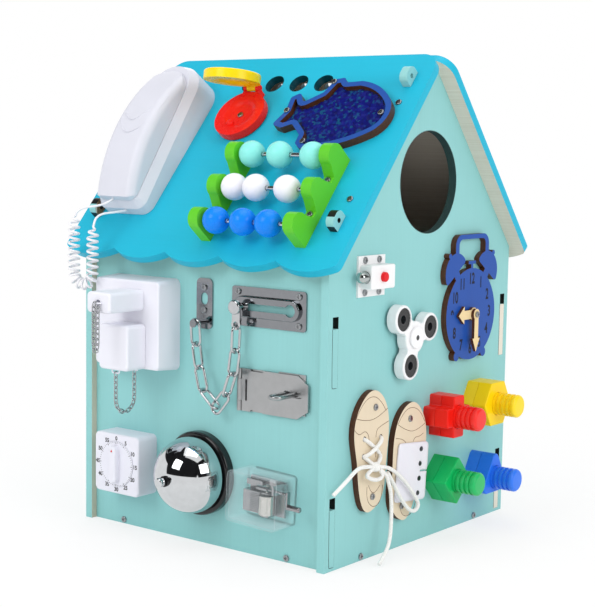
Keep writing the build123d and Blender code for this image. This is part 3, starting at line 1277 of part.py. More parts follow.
def music_movement():
    """Bed on four posts, comb on its block, lugs for the cylinder, bearing for the crank and the governor."""
    bed = Pos(0, 0, BED_OUT) * Box(BED_WIDTH, BED_HEIGHT, BED_THICKNESS, align=BASE_AT_ZERO)
    for u, v in mirrored_pairs(BED_WIDTH / 2 - BED_POST, BED_HEIGHT / 2 - BED_POST):
        bed += Pos(u, v, 0) * Cylinder(BED_POST / 2, BED_OUT, align=BASE_AT_ZERO)
    lug_height = MUSIC_DRUM_OUT + MUSIC_ARBOR - BED_TOP
    for foot in (DRUM_FOOT - RUN_GAP - MUSIC_LUG / 2, DRUM_HEAD + RUN_GAP + MUSIC_LUG / 2):
        lug = Pos(MUSIC_DRUM_SHIFT, foot, BED_TOP) * Box(MUSIC_LUG_WIDTH, MUSIC_LUG, lug_height, align=BASE_AT_ZERO)
        bed += lug
    bed -= Pos(MUSIC_DRUM_SHIFT, -MUSIC_HEIGHT, MUSIC_DRUM_OUT) * upright(MUSIC_ARBOR + 2 * PIN_GAP, 2 * MUSIC_HEIGHT)
    bearing_height = CRANK_OUT + CRANK_SHAFT - BED_TOP
    bearing = Pos(BED_WIDTH / 2 - MUSIC_LUG / 2, CRANK_RISE, BED_TOP) * Box(MUSIC_LUG, MUSIC_LUG_WIDTH, bearing_height, align=BASE_AT_ZERO)
    bed += bearing - Pos(BED_WIDTH / 2, CRANK_RISE, CRANK_OUT) * rod_along_x(CRANK_SHAFT + 2 * PIN_GAP, MUSIC_WIDTH)
    tip = MUSIC_DRUM_SHIFT - MUSIC_DRUM / 2 - RUN_GAP
    root = tip - COMB_WIDTH
    middle = (DRUM_FOOT + DRUM_HEAD) / 2
    comb = Pos((tip + root) / 2, middle, MUSIC_DRUM_OUT) * Box(COMB_WIDTH, COMB_HEIGHT, COMB_THICKNESS)
    pitch = COMB_HEIGHT / COMB_TEETH
    for count in range(1, COMB_TEETH):
        v = middle - COMB_HEIGHT / 2 + count * pitch
        slit = Box(COMB_WIDTH - COMB_ROOT, COMB_TOOTH_GAP, COMB_BLOCK, align=(Align.MAX, Align.CENTER, Align.CENTER))
        comb -= Pos(tip, v, MUSIC_DRUM_OUT) * slit
    block_height = MUSIC_DRUM_OUT - BED_TOP
    comb += Pos(root + COMB_BLOCK / 2, middle, BED_TOP) * Box(COMB_BLOCK, COMB_HEIGHT, block_height, align=BASE_AT_ZERO)
    governor = Pos(root + GOVERNOR_LENGTH / 2, CRANK_RISE, BED_TOP) * Box(GOVERNOR_LENGTH, GOVERNOR_HEIGHT, GOVERNOR_HEIGHT, align=BASE_AT_ZERO)
    return MUSIC_PLACE * (bed + comb + governor)


def music_cylinder():
    """Pinned drum and worm wheel on one arbor."""
    drum = Pos(0, DRUM_FOOT, 0) * upright(MUSIC_DRUM, MUSIC_DRUM_HEIGHT)
    foot = DRUM_FOOT - RUN_GAP - MUSIC_LUG
    drum += Pos(0, foot, 0) * upright(MUSIC_ARBOR, CRANK_RISE + MUSIC_GEAR_THICKNESS - foot)
    drum += Pos(0, CRANK_RISE - MUSIC_GEAR_THICKNESS / 2, 0) * upright(MUSIC_GEAR, MUSIC_GEAR_THICKNESS)
    return MUSIC_PLACE * Pos(MUSIC_DRUM_SHIFT, 0, MUSIC_DRUM_OUT) * drum


def music_crank():
    """Shaft with the worm, arm and knob."""
    inner = MUSIC_DRUM_SHIFT - MUSIC_WORM_LENGTH / 2
    outer = MUSIC_WIDTH / 2 + CRANK_OVERHANG
    crank = Pos((inner + outer) / 2, 0, 0) * rod_along_x(CRANK_SHAFT, outer - inner)
    crank += Pos(MUSIC_DRUM_SHIFT, 0, 0) * rod_along_x(MUSIC_WORM, MUSIC_WORM_LENGTH)
    reach = CRANK_ARM + CRANK_ARM_WIDTH
    crank += Pos(outer - CRANK_ARM_THICKNESS / 2, -CRANK_ARM / 2, 0) * Box(CRANK_ARM_THICKNESS, reach, CRANK_ARM_WIDTH)
    knob = rod_along_x(CRANK_KNOB, CRANK_KNOB_LENGTH)
    knob = fillet(knob.edges().group_by(Axis.X)[-1], CRANK_KNOB / 4)
    crank += Pos(outer + CRANK_KNOB_LENGTH / 2, -CRANK_ARM, 0) * knob
    return MUSIC_PLACE * Pos(0, CRANK_RISE, CRANK_OUT) * crank


# Push-button latch

LATCH_PLACE = on_gable(LATCH_Y, LATCH_Z)
BOX_LEFT = -LATCH_BOX_WIDTH / 2
BORE_END = LATCH_BOX_WIDTH / 2 - BOLT_BORE_END


def rod_between(diameter, start, end):
    return Pos((start + end) / 2, 0, BOLT_OUT) * rod_along_x(diameter, end - start)


def latch_body():
    """Plate and box, bored along its length for the bolt and through its front for the button."""
    body = extrude(Rectangle(LATCH_PLATE_WIDTH, LATCH_PLATE_HEIGHT), amount=LATCH_PLATE)
    body += block(LATCH_BOX_WIDTH, LATCH_BOX_HEIGHT, LATCH_BOX_RISE, LATCH_BOX_EDGE, LATCH_BOX_EDGE / 2)
    body -= rod_between(BOLT + 2 * RUN_GAP, BOX_LEFT - OVERRUN, BORE_END)
    body -= rod_between(BOLT_TAIL + 2 * RUN_GAP, 0, LATCH_BOX_WIDTH)
    body -= Pos(0, 0, BOLT_OUT) * Cylinder(BUTTON / 2 + PIN_GAP, LATCH_BOX_RISE, align=BASE_AT_ZERO)
    return LATCH_PLACE * body - pilots(latch_screws)


def latch_bolt():
    """Round bolt with a rounded nose, a long pocket under the button and a thin tail."""
    nose = BOX_LEFT - BOLT_NOSE
    end = BOX_LEFT + BOLT_BODY
    bolt = rod_between(BOLT, nose, end)
    bolt = fillet(bolt.edges().sort_by(Axis.X)[0], BOLT / 2 - JOINT_GAP)
    bolt += rod_between(BOLT_TAIL, end - OVERRUN, LATCH_BOX_WIDTH / 2 + BOLT_TAIL_PROUD)
    half = BUTTON / 2 + RUN_GAP
    pocket = Box(2 * half + BOLT_TRAVEL, 2 * half, BOLT, align=BASE_AT_ZERO)
    floor = BOLT_OUT + BOLT / 2 - BUTTON_SINK - BUTTON_TRAVEL - RUN_GAP
    bolt -= Pos(-BOLT_TRAVEL / 2, 0, floor) * pocket
    return LATCH_PLACE * bolt


def latch_button():
    start = BOLT_OUT + BOLT / 2 - BUTTON_SINK
    height = LATCH_BOX_RISE + BUTTON_PROUD - start
    button = Cylinder(BUTTON / 2, height, align=BASE_AT_ZERO)
    return LATCH_PLACE * Pos(0, 0, start) * fillet(button.edges().group_by(Axis.Z)[-1], BUTTON_ROUND)


# Spinner

SPINNER_PLACE = on_gable(SPINNER_Y, SPINNER_Z, SPINNER_OUT) * Rot(Z=SPINNER_TURN_DEGREES)
SPINNER_TURNS = [360 * arm / SPINNER_ARMS for arm in range(SPINNER_ARMS)]


def spinner_body():
    """Hub and lobes with a weight ring pressed into each lobe."""
    face = Circle(SPINNER_HUB / 2)
    for turn in SPINNER_TURNS:
        face += Rot(Z=turn) * Pos(0, SPINNER_ARM) * Circle(SPINNER_LOBE / 2)
        face += Rot(Z=turn) * Pos(0, SPINNER_ARM / 2) * Rectangle(SPINNER_WEB, SPINNER_ARM)
    body = extrude(face, amount=SPINNER_THICKNESS)
    body = fillet(body.edges().group_by(Axis.Z)[-1], SPINNER_EDGE)
    body -= Cylinder(SPINNER_STUD / 2 + PIN_GAP, 3 * SPINNER_THICKNESS)
    solids = []
    for turn in SPINNER_TURNS:
        place = Rot(Z=turn) * Pos(0, SPINNER_ARM, SPINNER_THICKNESS - SPINNER_WEIGHT_SINK)
        body -= place * Cylinder(SPINNER_WEIGHT / 2 + JOINT_GAP, SPINNER_THICKNESS + SPINNER_WEIGHT_THICKNESS, align=CENTRED)
        ring = Cylinder(SPINNER_WEIGHT / 2, SPINNER_WEIGHT_THICKNESS, align=TOP_AT_ZERO)
        ring -= Cylinder(SPINNER_WEIGHT_HOLE / 2, 3 * SPINNER_WEIGHT_THICKNESS)
        solids.append(SPINNER_PLACE * place * ring)
    return [SPINNER_PLACE * body] + solids


def spinner_axle():
    """Collar against the gable, stud through the hub and a cap in front of it."""
    axle = Cylinder(SPINNER_COLLAR / 2, SPINNER_OUT - RUN_GAP, align=BASE_AT_ZERO)
    axle += Pos(0, 0, -SCREW_GRIP) * Cylinder(SPINNER_STUD / 2, SCREW_GRIP + SPINNER_OUT + SPINNER_THICKNESS + SPINNER_CAP_HEIGHT, align=BASE_AT_ZERO)
    cap = Cylinder(SPINNER_CAP / 2, SPINNER_CAP_HEIGHT - RUN_GAP, align=BASE_AT_ZERO)
    cap = fillet(cap.edges().group_by(Axis.Z)[-1], SPINNER_CAP_ROUND)
    axle += Pos(0, 0, SPINNER_OUT + SPINNER_THICKNESS + RUN_GAP) * cap
    return on_gable(SPINNER_Y, SPINNER_Z) * axle


# Clock

def clock_face():
    """Alarm clock outline: round face, two bells with tips, handle, hammer and two feet."""
    face = Circle(CLOCK_FACE / 2)
    for side in (-1, 1):
        bell = Circle(CLOCK_BELL / 2)
        bell -= Rectangle(2 * CLOCK_BELL, CLOCK_BELL, align=(Align.CENTER, Align.MAX))
        bell = Pos(0, CLOCK_BELL_REACH) * fillet(bell.vertices(), CLOCK_BELL_ROUND)
        bell += Pos(0, CLOCK_BELL_REACH / 2) * Rectangle(CLOCK_NECK, CLOCK_BELL_REACH + OVERRUN)
        bell += Pos(0, CLOCK_BELL_REACH + CLOCK_BELL / 2 + CLOCK_BELL_TIP / 4) * Circle(CLOCK_BELL_TIP / 2)
        face += Rot(Z=-side * CLOCK_BELL_TURN_DEGREES) * bell
        foot = Pos(0, -CLOCK_FOOT_REACH) * Circle(CLOCK_FOOT / 2)
        face += Rot(Z=side * CLOCK_FOOT_TURN_DEGREES) * foot
    handle = RectangleRounded(CLOCK_HANDLE, 2 * CLOCK_HANDLE_HEIGHT, CLOCK_HANDLE_ROUND)
    window = (CLOCK_HANDLE - 2 * CLOCK_HANDLE_BAND, 2 * (CLOCK_HANDLE_HEIGHT - CLOCK_HANDLE_BAR))
    handle -= RectangleRounded(*window, CLOCK_HANDLE_ROUND - CLOCK_HANDLE_BAR)
    handle -= Rectangle(2 * CLOCK_HANDLE, 2 * CLOCK_HANDLE_HEIGHT, align=(Align.CENTER, Align.MAX))
    face += Pos(0, CLOCK_HANDLE_RISE) * handle
    stem_top = CLOCK_FACE / 2 + CLOCK_HAMMER_RISE
    face += Pos(0, stem_top / 2) * Rectangle(CLOCK_HAMMER_STEM, stem_top)
    face += Pos(0, stem_top) * Rectangle(CLOCK_HAMMER_WIDTH, CLOCK_HAMMER_HEIGHT)
    body = extrude(face, amount=CLOCK_PLY)
    body -= Cylinder(SCREW_SHANK / 2 + JOINT_GAP, 3 * CLOCK_PLY)
    return on_gable(CLOCK_Y, CLOCK_Z) * body


def clock_hand(length, width, head, head_width):
    """Flat arrow that points along the second axis, with a round boss at the pivot."""
    neck = length - head
    face = Pos(0, neck / 2) * Rectangle(width, neck) + Circle(width * BOSS_SHARE)
    face += outline([(-head_width / 2, neck), (head_width / 2, neck), (0, length)])
    face -= Circle(SCREW_SHANK / 2 + PIN_GAP)
    return extrude(face, amount=HAND_PLY)


HOUR_HAND_OUT = CLOCK_PLY + RUN_GAP
MINUTE_HAND_OUT = HOUR_HAND_OUT + HAND_PLY + RUN_GAP
CLOCK_STACK = MINUTE_HAND_OUT + HAND_PLY + RUN_GAP


def clock_hour_hand():
    hand = clock_hand(HOUR_HAND, HAND_WIDTH, HOUR_HAND_HEAD, HAND_HEAD)
    return on_gable(CLOCK_Y, CLOCK_Z, HOUR_HAND_OUT) * Rot(Z=90) * hand


def clock_minute_hand():
    hand = clock_hand(MINUTE_HAND, MINUTE_HAND_WIDTH, MINUTE_HAND_HEAD, MINUTE_HAND_HEAD_WIDTH)
    return on_gable(CLOCK_Y, CLOCK_Z, MINUTE_HAND_OUT) * Rot(Z=180) * hand


clock_screws = [(on_gable(CLOCK_Y, CLOCK_Z, CLOCK_STACK), CLOCK_STACK)]


# Shoes, lace and snap flap

def sole_face(shoe):
    points = [(shoe[3] * across * SOLE_WIDTH, along * SOLE_LENGTH) for across, along in SOLE_OUTLINE_SHARES]
    return make_face(Spline(*points, periodic=True))


def lace_holes():
    """Places of the lace holes as steps across and along the lacing shoe."""
    return [
        [LACE_HOLE_SHIFT - LACE_HOLE_SPREAD / 2, LACE_HOLE_SHIFT + LACE_HOLE_SPREAD / 2,
         LACE_HOLE_HEIGHT - row * LACE_HOLE_PITCH]
        for row in range(LACE_ROWS)
    ]


def shoe_soles():
    soles = []
    for shoe in (LACE_SHOE, SNAP_SHOE):
        sole = extrude(sole_face(shoe), amount=SOLE_PLY)
        if shoe is LACE_SHOE:
            for left, right, along in lace_holes():
                for across in (left, right):
                    sole -= Pos(across, along, 0) * Cylinder(LACE_HOLE / 2, 3 * SOLE_PLY)
        soles.append(on_sole(shoe, 0, 0) * sole - pilots(sole_screws))
    return soles


def snap_flap():
    """Felt flap on the snap shoe, slit into its long edge and held by a row of snaps."""
    left = FLAP_LEFT_SHARE * SOLE_WIDTH
    right = FLAP_RIGHT_SHARE * SOLE_WIDTH
    foot = FLAP_FOOT_SHARE * SOLE_LENGTH
    top = FLAP_TOP_SHARE * SOLE_LENGTH
    middle = (left + right) / 2
    face = Pos(middle, (foot + top) / 2) * Rectangle(right - left, top - foot)
    face = fillet(face.vertices(), FLAP_CORNER)
    face -= Pos(right, (foot + top) / 2) * Rectangle(2 * FLAP_SLIT_DEPTH, FLAP_SLIT)
    flap = extrude(face, amount=FLAP_THICKNESS)
    pitch = (top - foot - 2 * SNAP_INSET) / (SNAPS - 1)
    for count in range(SNAPS):
        snap = Cylinder(SNAP / 2, FLAP_THICKNESS + SNAP_RISE, align=BASE_AT_ZERO)
        flap += Pos(right - SNAP_SETBACK, foot + SNAP_INSET + count * pitch, 0) * snap
    return on_sole(SNAP_SHOE, 0, 0, SOLE_PLY) * flap


def rounded_run(points):
    """Cord through a list of points, each bend as round as its shorter run allows."""
    spots = [Vector(*point) for point in points]
    radii = []
    for before, here, after in zip(spots, spots[1:], spots[2:]):
        turn = math.acos(max(-1, min(1, (here - before).normalized().dot((after - here).normalized()))))
        run = min((here - before).length, (after - here).length)
        radii.append(BEND_SHARE * run / math.tan(turn / 2))
    return FilletPolyline(*spots, radius=radii)


def lace_runs():
    """Knot, crossed strands from hole to hole, the two loose ends and the loop of the bow."""
    flat = SOLE_PLY + LACE / 2 + RUN_GAP
    high = flat + LACE_STACK

    def spot(across, along, out):
        return (on_sole(LACE_SHOE, 0, 0, out) * Pos(across, along, 0)).position

    rows = lace_holes()
    left, right, along = rows[0]
    runs = [[spot(left, along, high), spot(right, along, high)]]
    for row, below in zip(rows, rows[1:]):
        runs.append([spot(row[0], row[2], flat), spot(below[1], below[2], flat)])
        runs.append([spot(row[1], row[2], high), spot(below[0], below[2], high)])
    left, right, along = rows[-1]
    knot = spot(LACE_HOLE_SHIFT, along - LACE_KNOT_DROP, high)
    runs += [[spot(left, along, flat), knot], [spot(right, along, high), knot]]
    for places in LACE_ENDS:
        runs.append([knot] + [(GABLE_X + out, y, z) for y, z, out in places])
    return knot, runs


def shoe_lace():
    """Lace in one piece: stubs in the holes, strands over them, knot, loop and ends."""
    knot, runs = lace_runs()
    lace = Pos(knot) * Sphere(LACE_KNOT / 2)
    for points in runs:
        path = rounded_run(points) if len(points) > 2 else Line(*points)
        lace += tube(path, LACE)
    height = SOLE_PLY / 2 + LACE_STACK + LACE
    stub = fillet(Cylinder(LACE_STUB / 2, height, align=BASE_AT_ZERO).edges().group_by(Axis.Z)[-1], LACE_STUB / 3)
    for left, right, along in lace_holes():
        for across in (left, right):
            lace += on_sole(LACE_SHOE, 0, 0, SOLE_PLY / 2 + RUN_GAP) * Pos(across, along, 0) * stub
    return lace


# Toy bolts and nuts

def nut_outlines():
    cross = Rectangle(CROSS_SPAN, CROSS_ARM) + Rectangle(CROSS_ARM, CROSS_SPAN)
    triangle = RegularPolygon(TRIANGLE_RADIUS, 3)
    return {
        "cross": (CROSS_Y, CROSS_Z, fillet(cross.vertices(), NUT_ROUND)),
        "hexagon": (HEXAGON_Y, HEXAGON_Z, fillet(RegularPolygon(HEXAGON_RADIUS, 6).vertices(), NUT_ROUND)),
        "square": (SQUARE_Y, SQUARE_Z, Rot(Z=SQUARE_TURN_DEGREES) * fillet(Rectangle(SQUARE_SIDE, SQUARE_SIDE).vertices(), NUT_ROUND)),
        "triangle": (TRIANGLE_Y, TRIANGLE_Z, Rot(Z=TRIANGLE_TURN_DEGREES) * fillet(triangle.vertices(), TRIANGLE_ROUND)),
    }


def toy_bolt(face):
    """Shaped head against the gable and a coarse ribbed shaft with a rounded tip."""
    bolt = extrude(face, amount=BOLT_HEAD)
    shaft = Cylinder(THREAD / 2, BOLT_TIP, align=BASE_AT_ZERO)
    shaft = fillet(shaft.edges().group_by(Axis.Z)[-1], BOLT_TIP_ROUND)
    groove = Cylinder(THREAD, THREAD_PITCH / 2) - Cylinder(THREAD_ROOT / 2, THREAD_PITCH)
    for count in range(THREADS):
        shaft -= Pos(0, 0, BOLT_TIP - BOLT_TIP_ROUND - THREAD_PITCH * (count + 1 / 2)) * groove
    return bolt + shaft


def toy_nut(face):
    nut = extrude(face, amount=NUT_THICKNESS)
    nut = fillet(nut.edges().group_by(Axis.Z)[-1], NUT_ROUND / 2)
    return nut - Cylinder(THREAD / 2 + RUN_GAP, 3 * NUT_THICKNESS)


# Panels with their holes, and the screws

gable = gable_blank() - pilots(gable_floor_screws) - pilots(roof_screws)
gable -= [to_rear(hole) for hole in pilots(roof_screws)]
wall = wall_blank() - pilots(front_floor_screws)
roof = roof_blank() - pilots(roof_screws)
floor_holes = pilots(front_floor_screws) + pilots(gable_floor_screws)
floor_holes += [to_rear(hole) for hole in pilots(front_floor_screws)]
floor_holes += [to_left(hole) for hole in pilots(gable_floor_screws)]
floor_depth = -2 * (FRONT_Y + PLY + JOINT_GAP)
floor = Box(INNER_WIDTH - 2 * JOINT_GAP, floor_depth, PLY, align=BASE_AT_ZERO) - floor_holes

right_gable = gable - on_gable(0, GABLE_HOLE_HEIGHT) * Cylinder(GABLE_HOLE / 2, 3 * PLY)
right_gable -= pilots(latch_screws + sole_screws + clock_screws)
stud_hole = Cylinder(SPINNER_STUD / 2 + JOINT_GAP, SCREW_GRIP + JOINT_GAP, align=TOP_AT_ZERO)
right_gable -= on_gable(SPINNER_Y, SPINNER_Z) * stud_hole

panel_screws = [place * screw(stack) for place, stack in roof_screws + front_floor_screws]
side_screws = [place * screw(stack) for place, stack in gable_floor_screws]
fitting_screws = castanet_screws + bracket_screws + whale_screws + anchor_screws + track_screws
fitting_screws += latch_screws + sole_screws + clock_screws
wood_screws = panel_screws + [to_rear(solid) for solid in panel_screws]
wood_screws += side_screws + [to_left(solid) for solid in side_screws]
wood_screws += [place * screw(stack) for place, stack in fitting_screws]
wood_screws.append(spinner_axle())

brackets = []
for bracket_x in (BRACKET_LEFT_X, BRACKET_RIGHT_X):
    brackets.append(abacus_bracket(bracket_x) - abacus_rods(JOINT_GAP) - pilots(bracket_screws))

cord_path = curly_cord()
cord = tube(cord_path, CORD_WIRE)
print("curly cord: least gap", round(least_self_gap(cord_path, CORD_WIRE), 3))
cord_section = math.pi * CORD_WIRE * CORD_WIRE / 4
print("curly cord: volume", round(cord.volume, 1), "section by length", round(cord_section * cord_path.length, 1))

# Named nodes, each a list of solids

nodes = {
    "floor_panel": [floor],
    "front_wall": [wall - pilots(anchor_screws + track_screws)],
    "rear_wall": [to_rear(wall)],
    "left_gable": [to_left(gable)],
    "right_gable": [right_gable],
    "front_roof": [roof - pilots(castanet_screws + bracket_screws + whale_screws)],
    "rear_roof": [to_rear(roof)],
    "wood_screws": wood_screws,
    "phone_base": [phone_base()],
    "phone_handset": [phone_handset()],
    "curly_cord": [cord],
    "castanet_base": [castanet_base()],
    "castanet_clapper": [castanet_clapper()],
    "abacus_brackets": brackets,
    "abacus_rods": abacus_rods(),
    "whale_frame": [whale_frame()],
    "whale_sequins": [whale_sequins()],
    "socket_box": [socket_box()],
    "two_pin_plug": [two_pin_plug()],
    "three_pin_plug": [three_pin_plug()],
    "plug_chains": high_plug_chain() + low_plug_chain(),
    "door_chain_plates": [anchor_plate(), track_plate()],
    "chain_slider": [chain_slider()],
    "door_chain_left": door_chain_left(),
    "door_chain_right": door_chain_right(),
    "hasp_leaf": [hasp_leaf(), staple(), staple_base()],
    "hasp_plate": [hasp_plate()],
    "timer_case": [timer_case()],
    "timer_dial": [timer_dial()],
    "bell_base": [bell_base()],
    "bell_dome": [bell_dome()],
    "bell_plunger": [bell_plunger()],
    "music_case": [music_case()],
    "music_movement": [music_movement()],
    "music_cylinder": [music_cylinder()],
    "music_crank": [music_crank()],
    "latch_body": [latch_body()],
    "latch_bolt": [latch_bolt()],
    "latch_button": [latch_button()],
    "spinner_body": spinner_body(),
    "clock_face": [clock_face()],
    "clock_hour_hand": [clock_hour_hand()],
    "clock_minute_hand": [clock_minute_hand()],
    "shoe_soles": shoe_soles(),
    "shoe_lace": [shoe_lace()],
    "snap_flap": [snap_flap()],
    "toy_bolts": [],
}
for row, colour in enumerate(BEAD_ROWS):
    for count, side in enumerate(("left", "middle", "right")):
        nodes[f"bead_{colour}_{side}"] = [bead(row, count)]
for kind, (nut_y, nut_z, nut_face) in nut_outlines().items():
    nodes["toy_bolts"].append(on_gable(nut_y, nut_z) * toy_bolt(nut_face))
    nodes[f"toy_nut_{kind}"] = [on_gable(nut_y, nut_z, BOLT_HEAD + NUT_GAP) * toy_nut(nut_face)]

os.makedirs("parts", exist_ok=True)
for name, pieces in nodes.items():
    solids = [solid for piece in pieces for solid in piece.solids()]
    export_step(Compound(label=name, children=solids), f"parts/{name}.step")
print(len(nodes), "nodes")
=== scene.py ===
import bpy
import bmesh
import math
from mathutils import Matrix, Vector
from mathutils.bvhtree import BVHTree


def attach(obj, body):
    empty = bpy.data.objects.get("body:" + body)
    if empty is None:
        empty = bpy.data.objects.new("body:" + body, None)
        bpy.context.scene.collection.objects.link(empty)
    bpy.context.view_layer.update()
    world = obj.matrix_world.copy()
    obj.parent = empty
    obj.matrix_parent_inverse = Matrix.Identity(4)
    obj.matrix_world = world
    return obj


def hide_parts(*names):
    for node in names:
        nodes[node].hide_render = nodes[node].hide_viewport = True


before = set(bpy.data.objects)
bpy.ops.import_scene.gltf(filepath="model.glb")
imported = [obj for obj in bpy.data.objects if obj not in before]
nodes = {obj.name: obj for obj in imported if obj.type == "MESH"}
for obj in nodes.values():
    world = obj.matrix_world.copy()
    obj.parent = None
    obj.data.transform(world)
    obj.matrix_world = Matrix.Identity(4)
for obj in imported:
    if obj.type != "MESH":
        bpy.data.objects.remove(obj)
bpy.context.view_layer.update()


# Plywood shell: floor, two walls and two gables that lock together with tabs, under two roof panels.
# 8 mm birch plywood, sprayed with satin water paint on its outer faces and left bare inside.
# Tenons of the gables come up through the roof, and the tab ends of the rear wall show the bare ply.

MM = 0.001
MINT = "#90CBCB"
TURQUOISE = "#17B3D1"
PLY_LAYER = 1.6
PITCH = math.radians(50)
RIDGE_Z = 459.6
GABLE_X = 146.0
WALL_MIDDLE_Y = 139.5
WALL_FACE_Y = 143.4
SLOT_REACH = 4.6
GABLE_HOLE = 93.4
GABLE_HOLE_HEIGHT = 334.0
RIDGE_HOLE = 19.6
RIDGE_HOLE_DROP = 47.0
RIDGE_HOLE_PITCH = 29.4
RIDGE_HOLE_SHIFT = 2.1
RIM_MARGIN = 0.4
WELD = 0.001
SHARP_EDGE = math.radians(28)
UPRIGHT_GRAIN = (1.4, 1.4, 70)
LEVEL_GRAIN = (70, 1.4, 1.4)
ROOF_GRAIN = (80, 1.4, 1.4)


def linear(colour):
    """An sRGB hex colour as linear red, green, blue and full alpha."""
    shares = [int(colour[i:i + 2], 16) / 255 for i in (1, 3, 5)]
    return [s / 12.92 if s <= 0.04045 else ((s + 0.055) / 1.055) ** 2.4 for s in shares] + [1]


def shaded(colour, share):
    """A hex colour's linear value made darker or lighter by a share."""
    return [min(1, share * value) for value in linear(colour)[:3]] + [1]


def fill(tree, node, inputs):
    """Gives a node's sockets their values, or links to the sockets of other nodes."""
    for socket, value in inputs.items():
        if isinstance(value, bpy.types.NodeSocket):
            tree.links.new(value, node.inputs[socket])
        else:
            node.inputs[socket].default_value = value


def add(tree, kind, inputs={}, **settings):
    """Adds one node: settings are its properties, inputs the values or links of its sockets."""
    node = tree.nodes.new(kind)
    for name, value in settings.items():
        setattr(node, name, value)
    fill(tree, node, inputs)
    return node


def new_finish(name):
    """A fresh material with its tree and its Principled shader."""
    material = bpy.data.materials.new(name)
    material.use_nodes = True
    return material, material.node_tree, material.node_tree.nodes["Principled BSDF"]


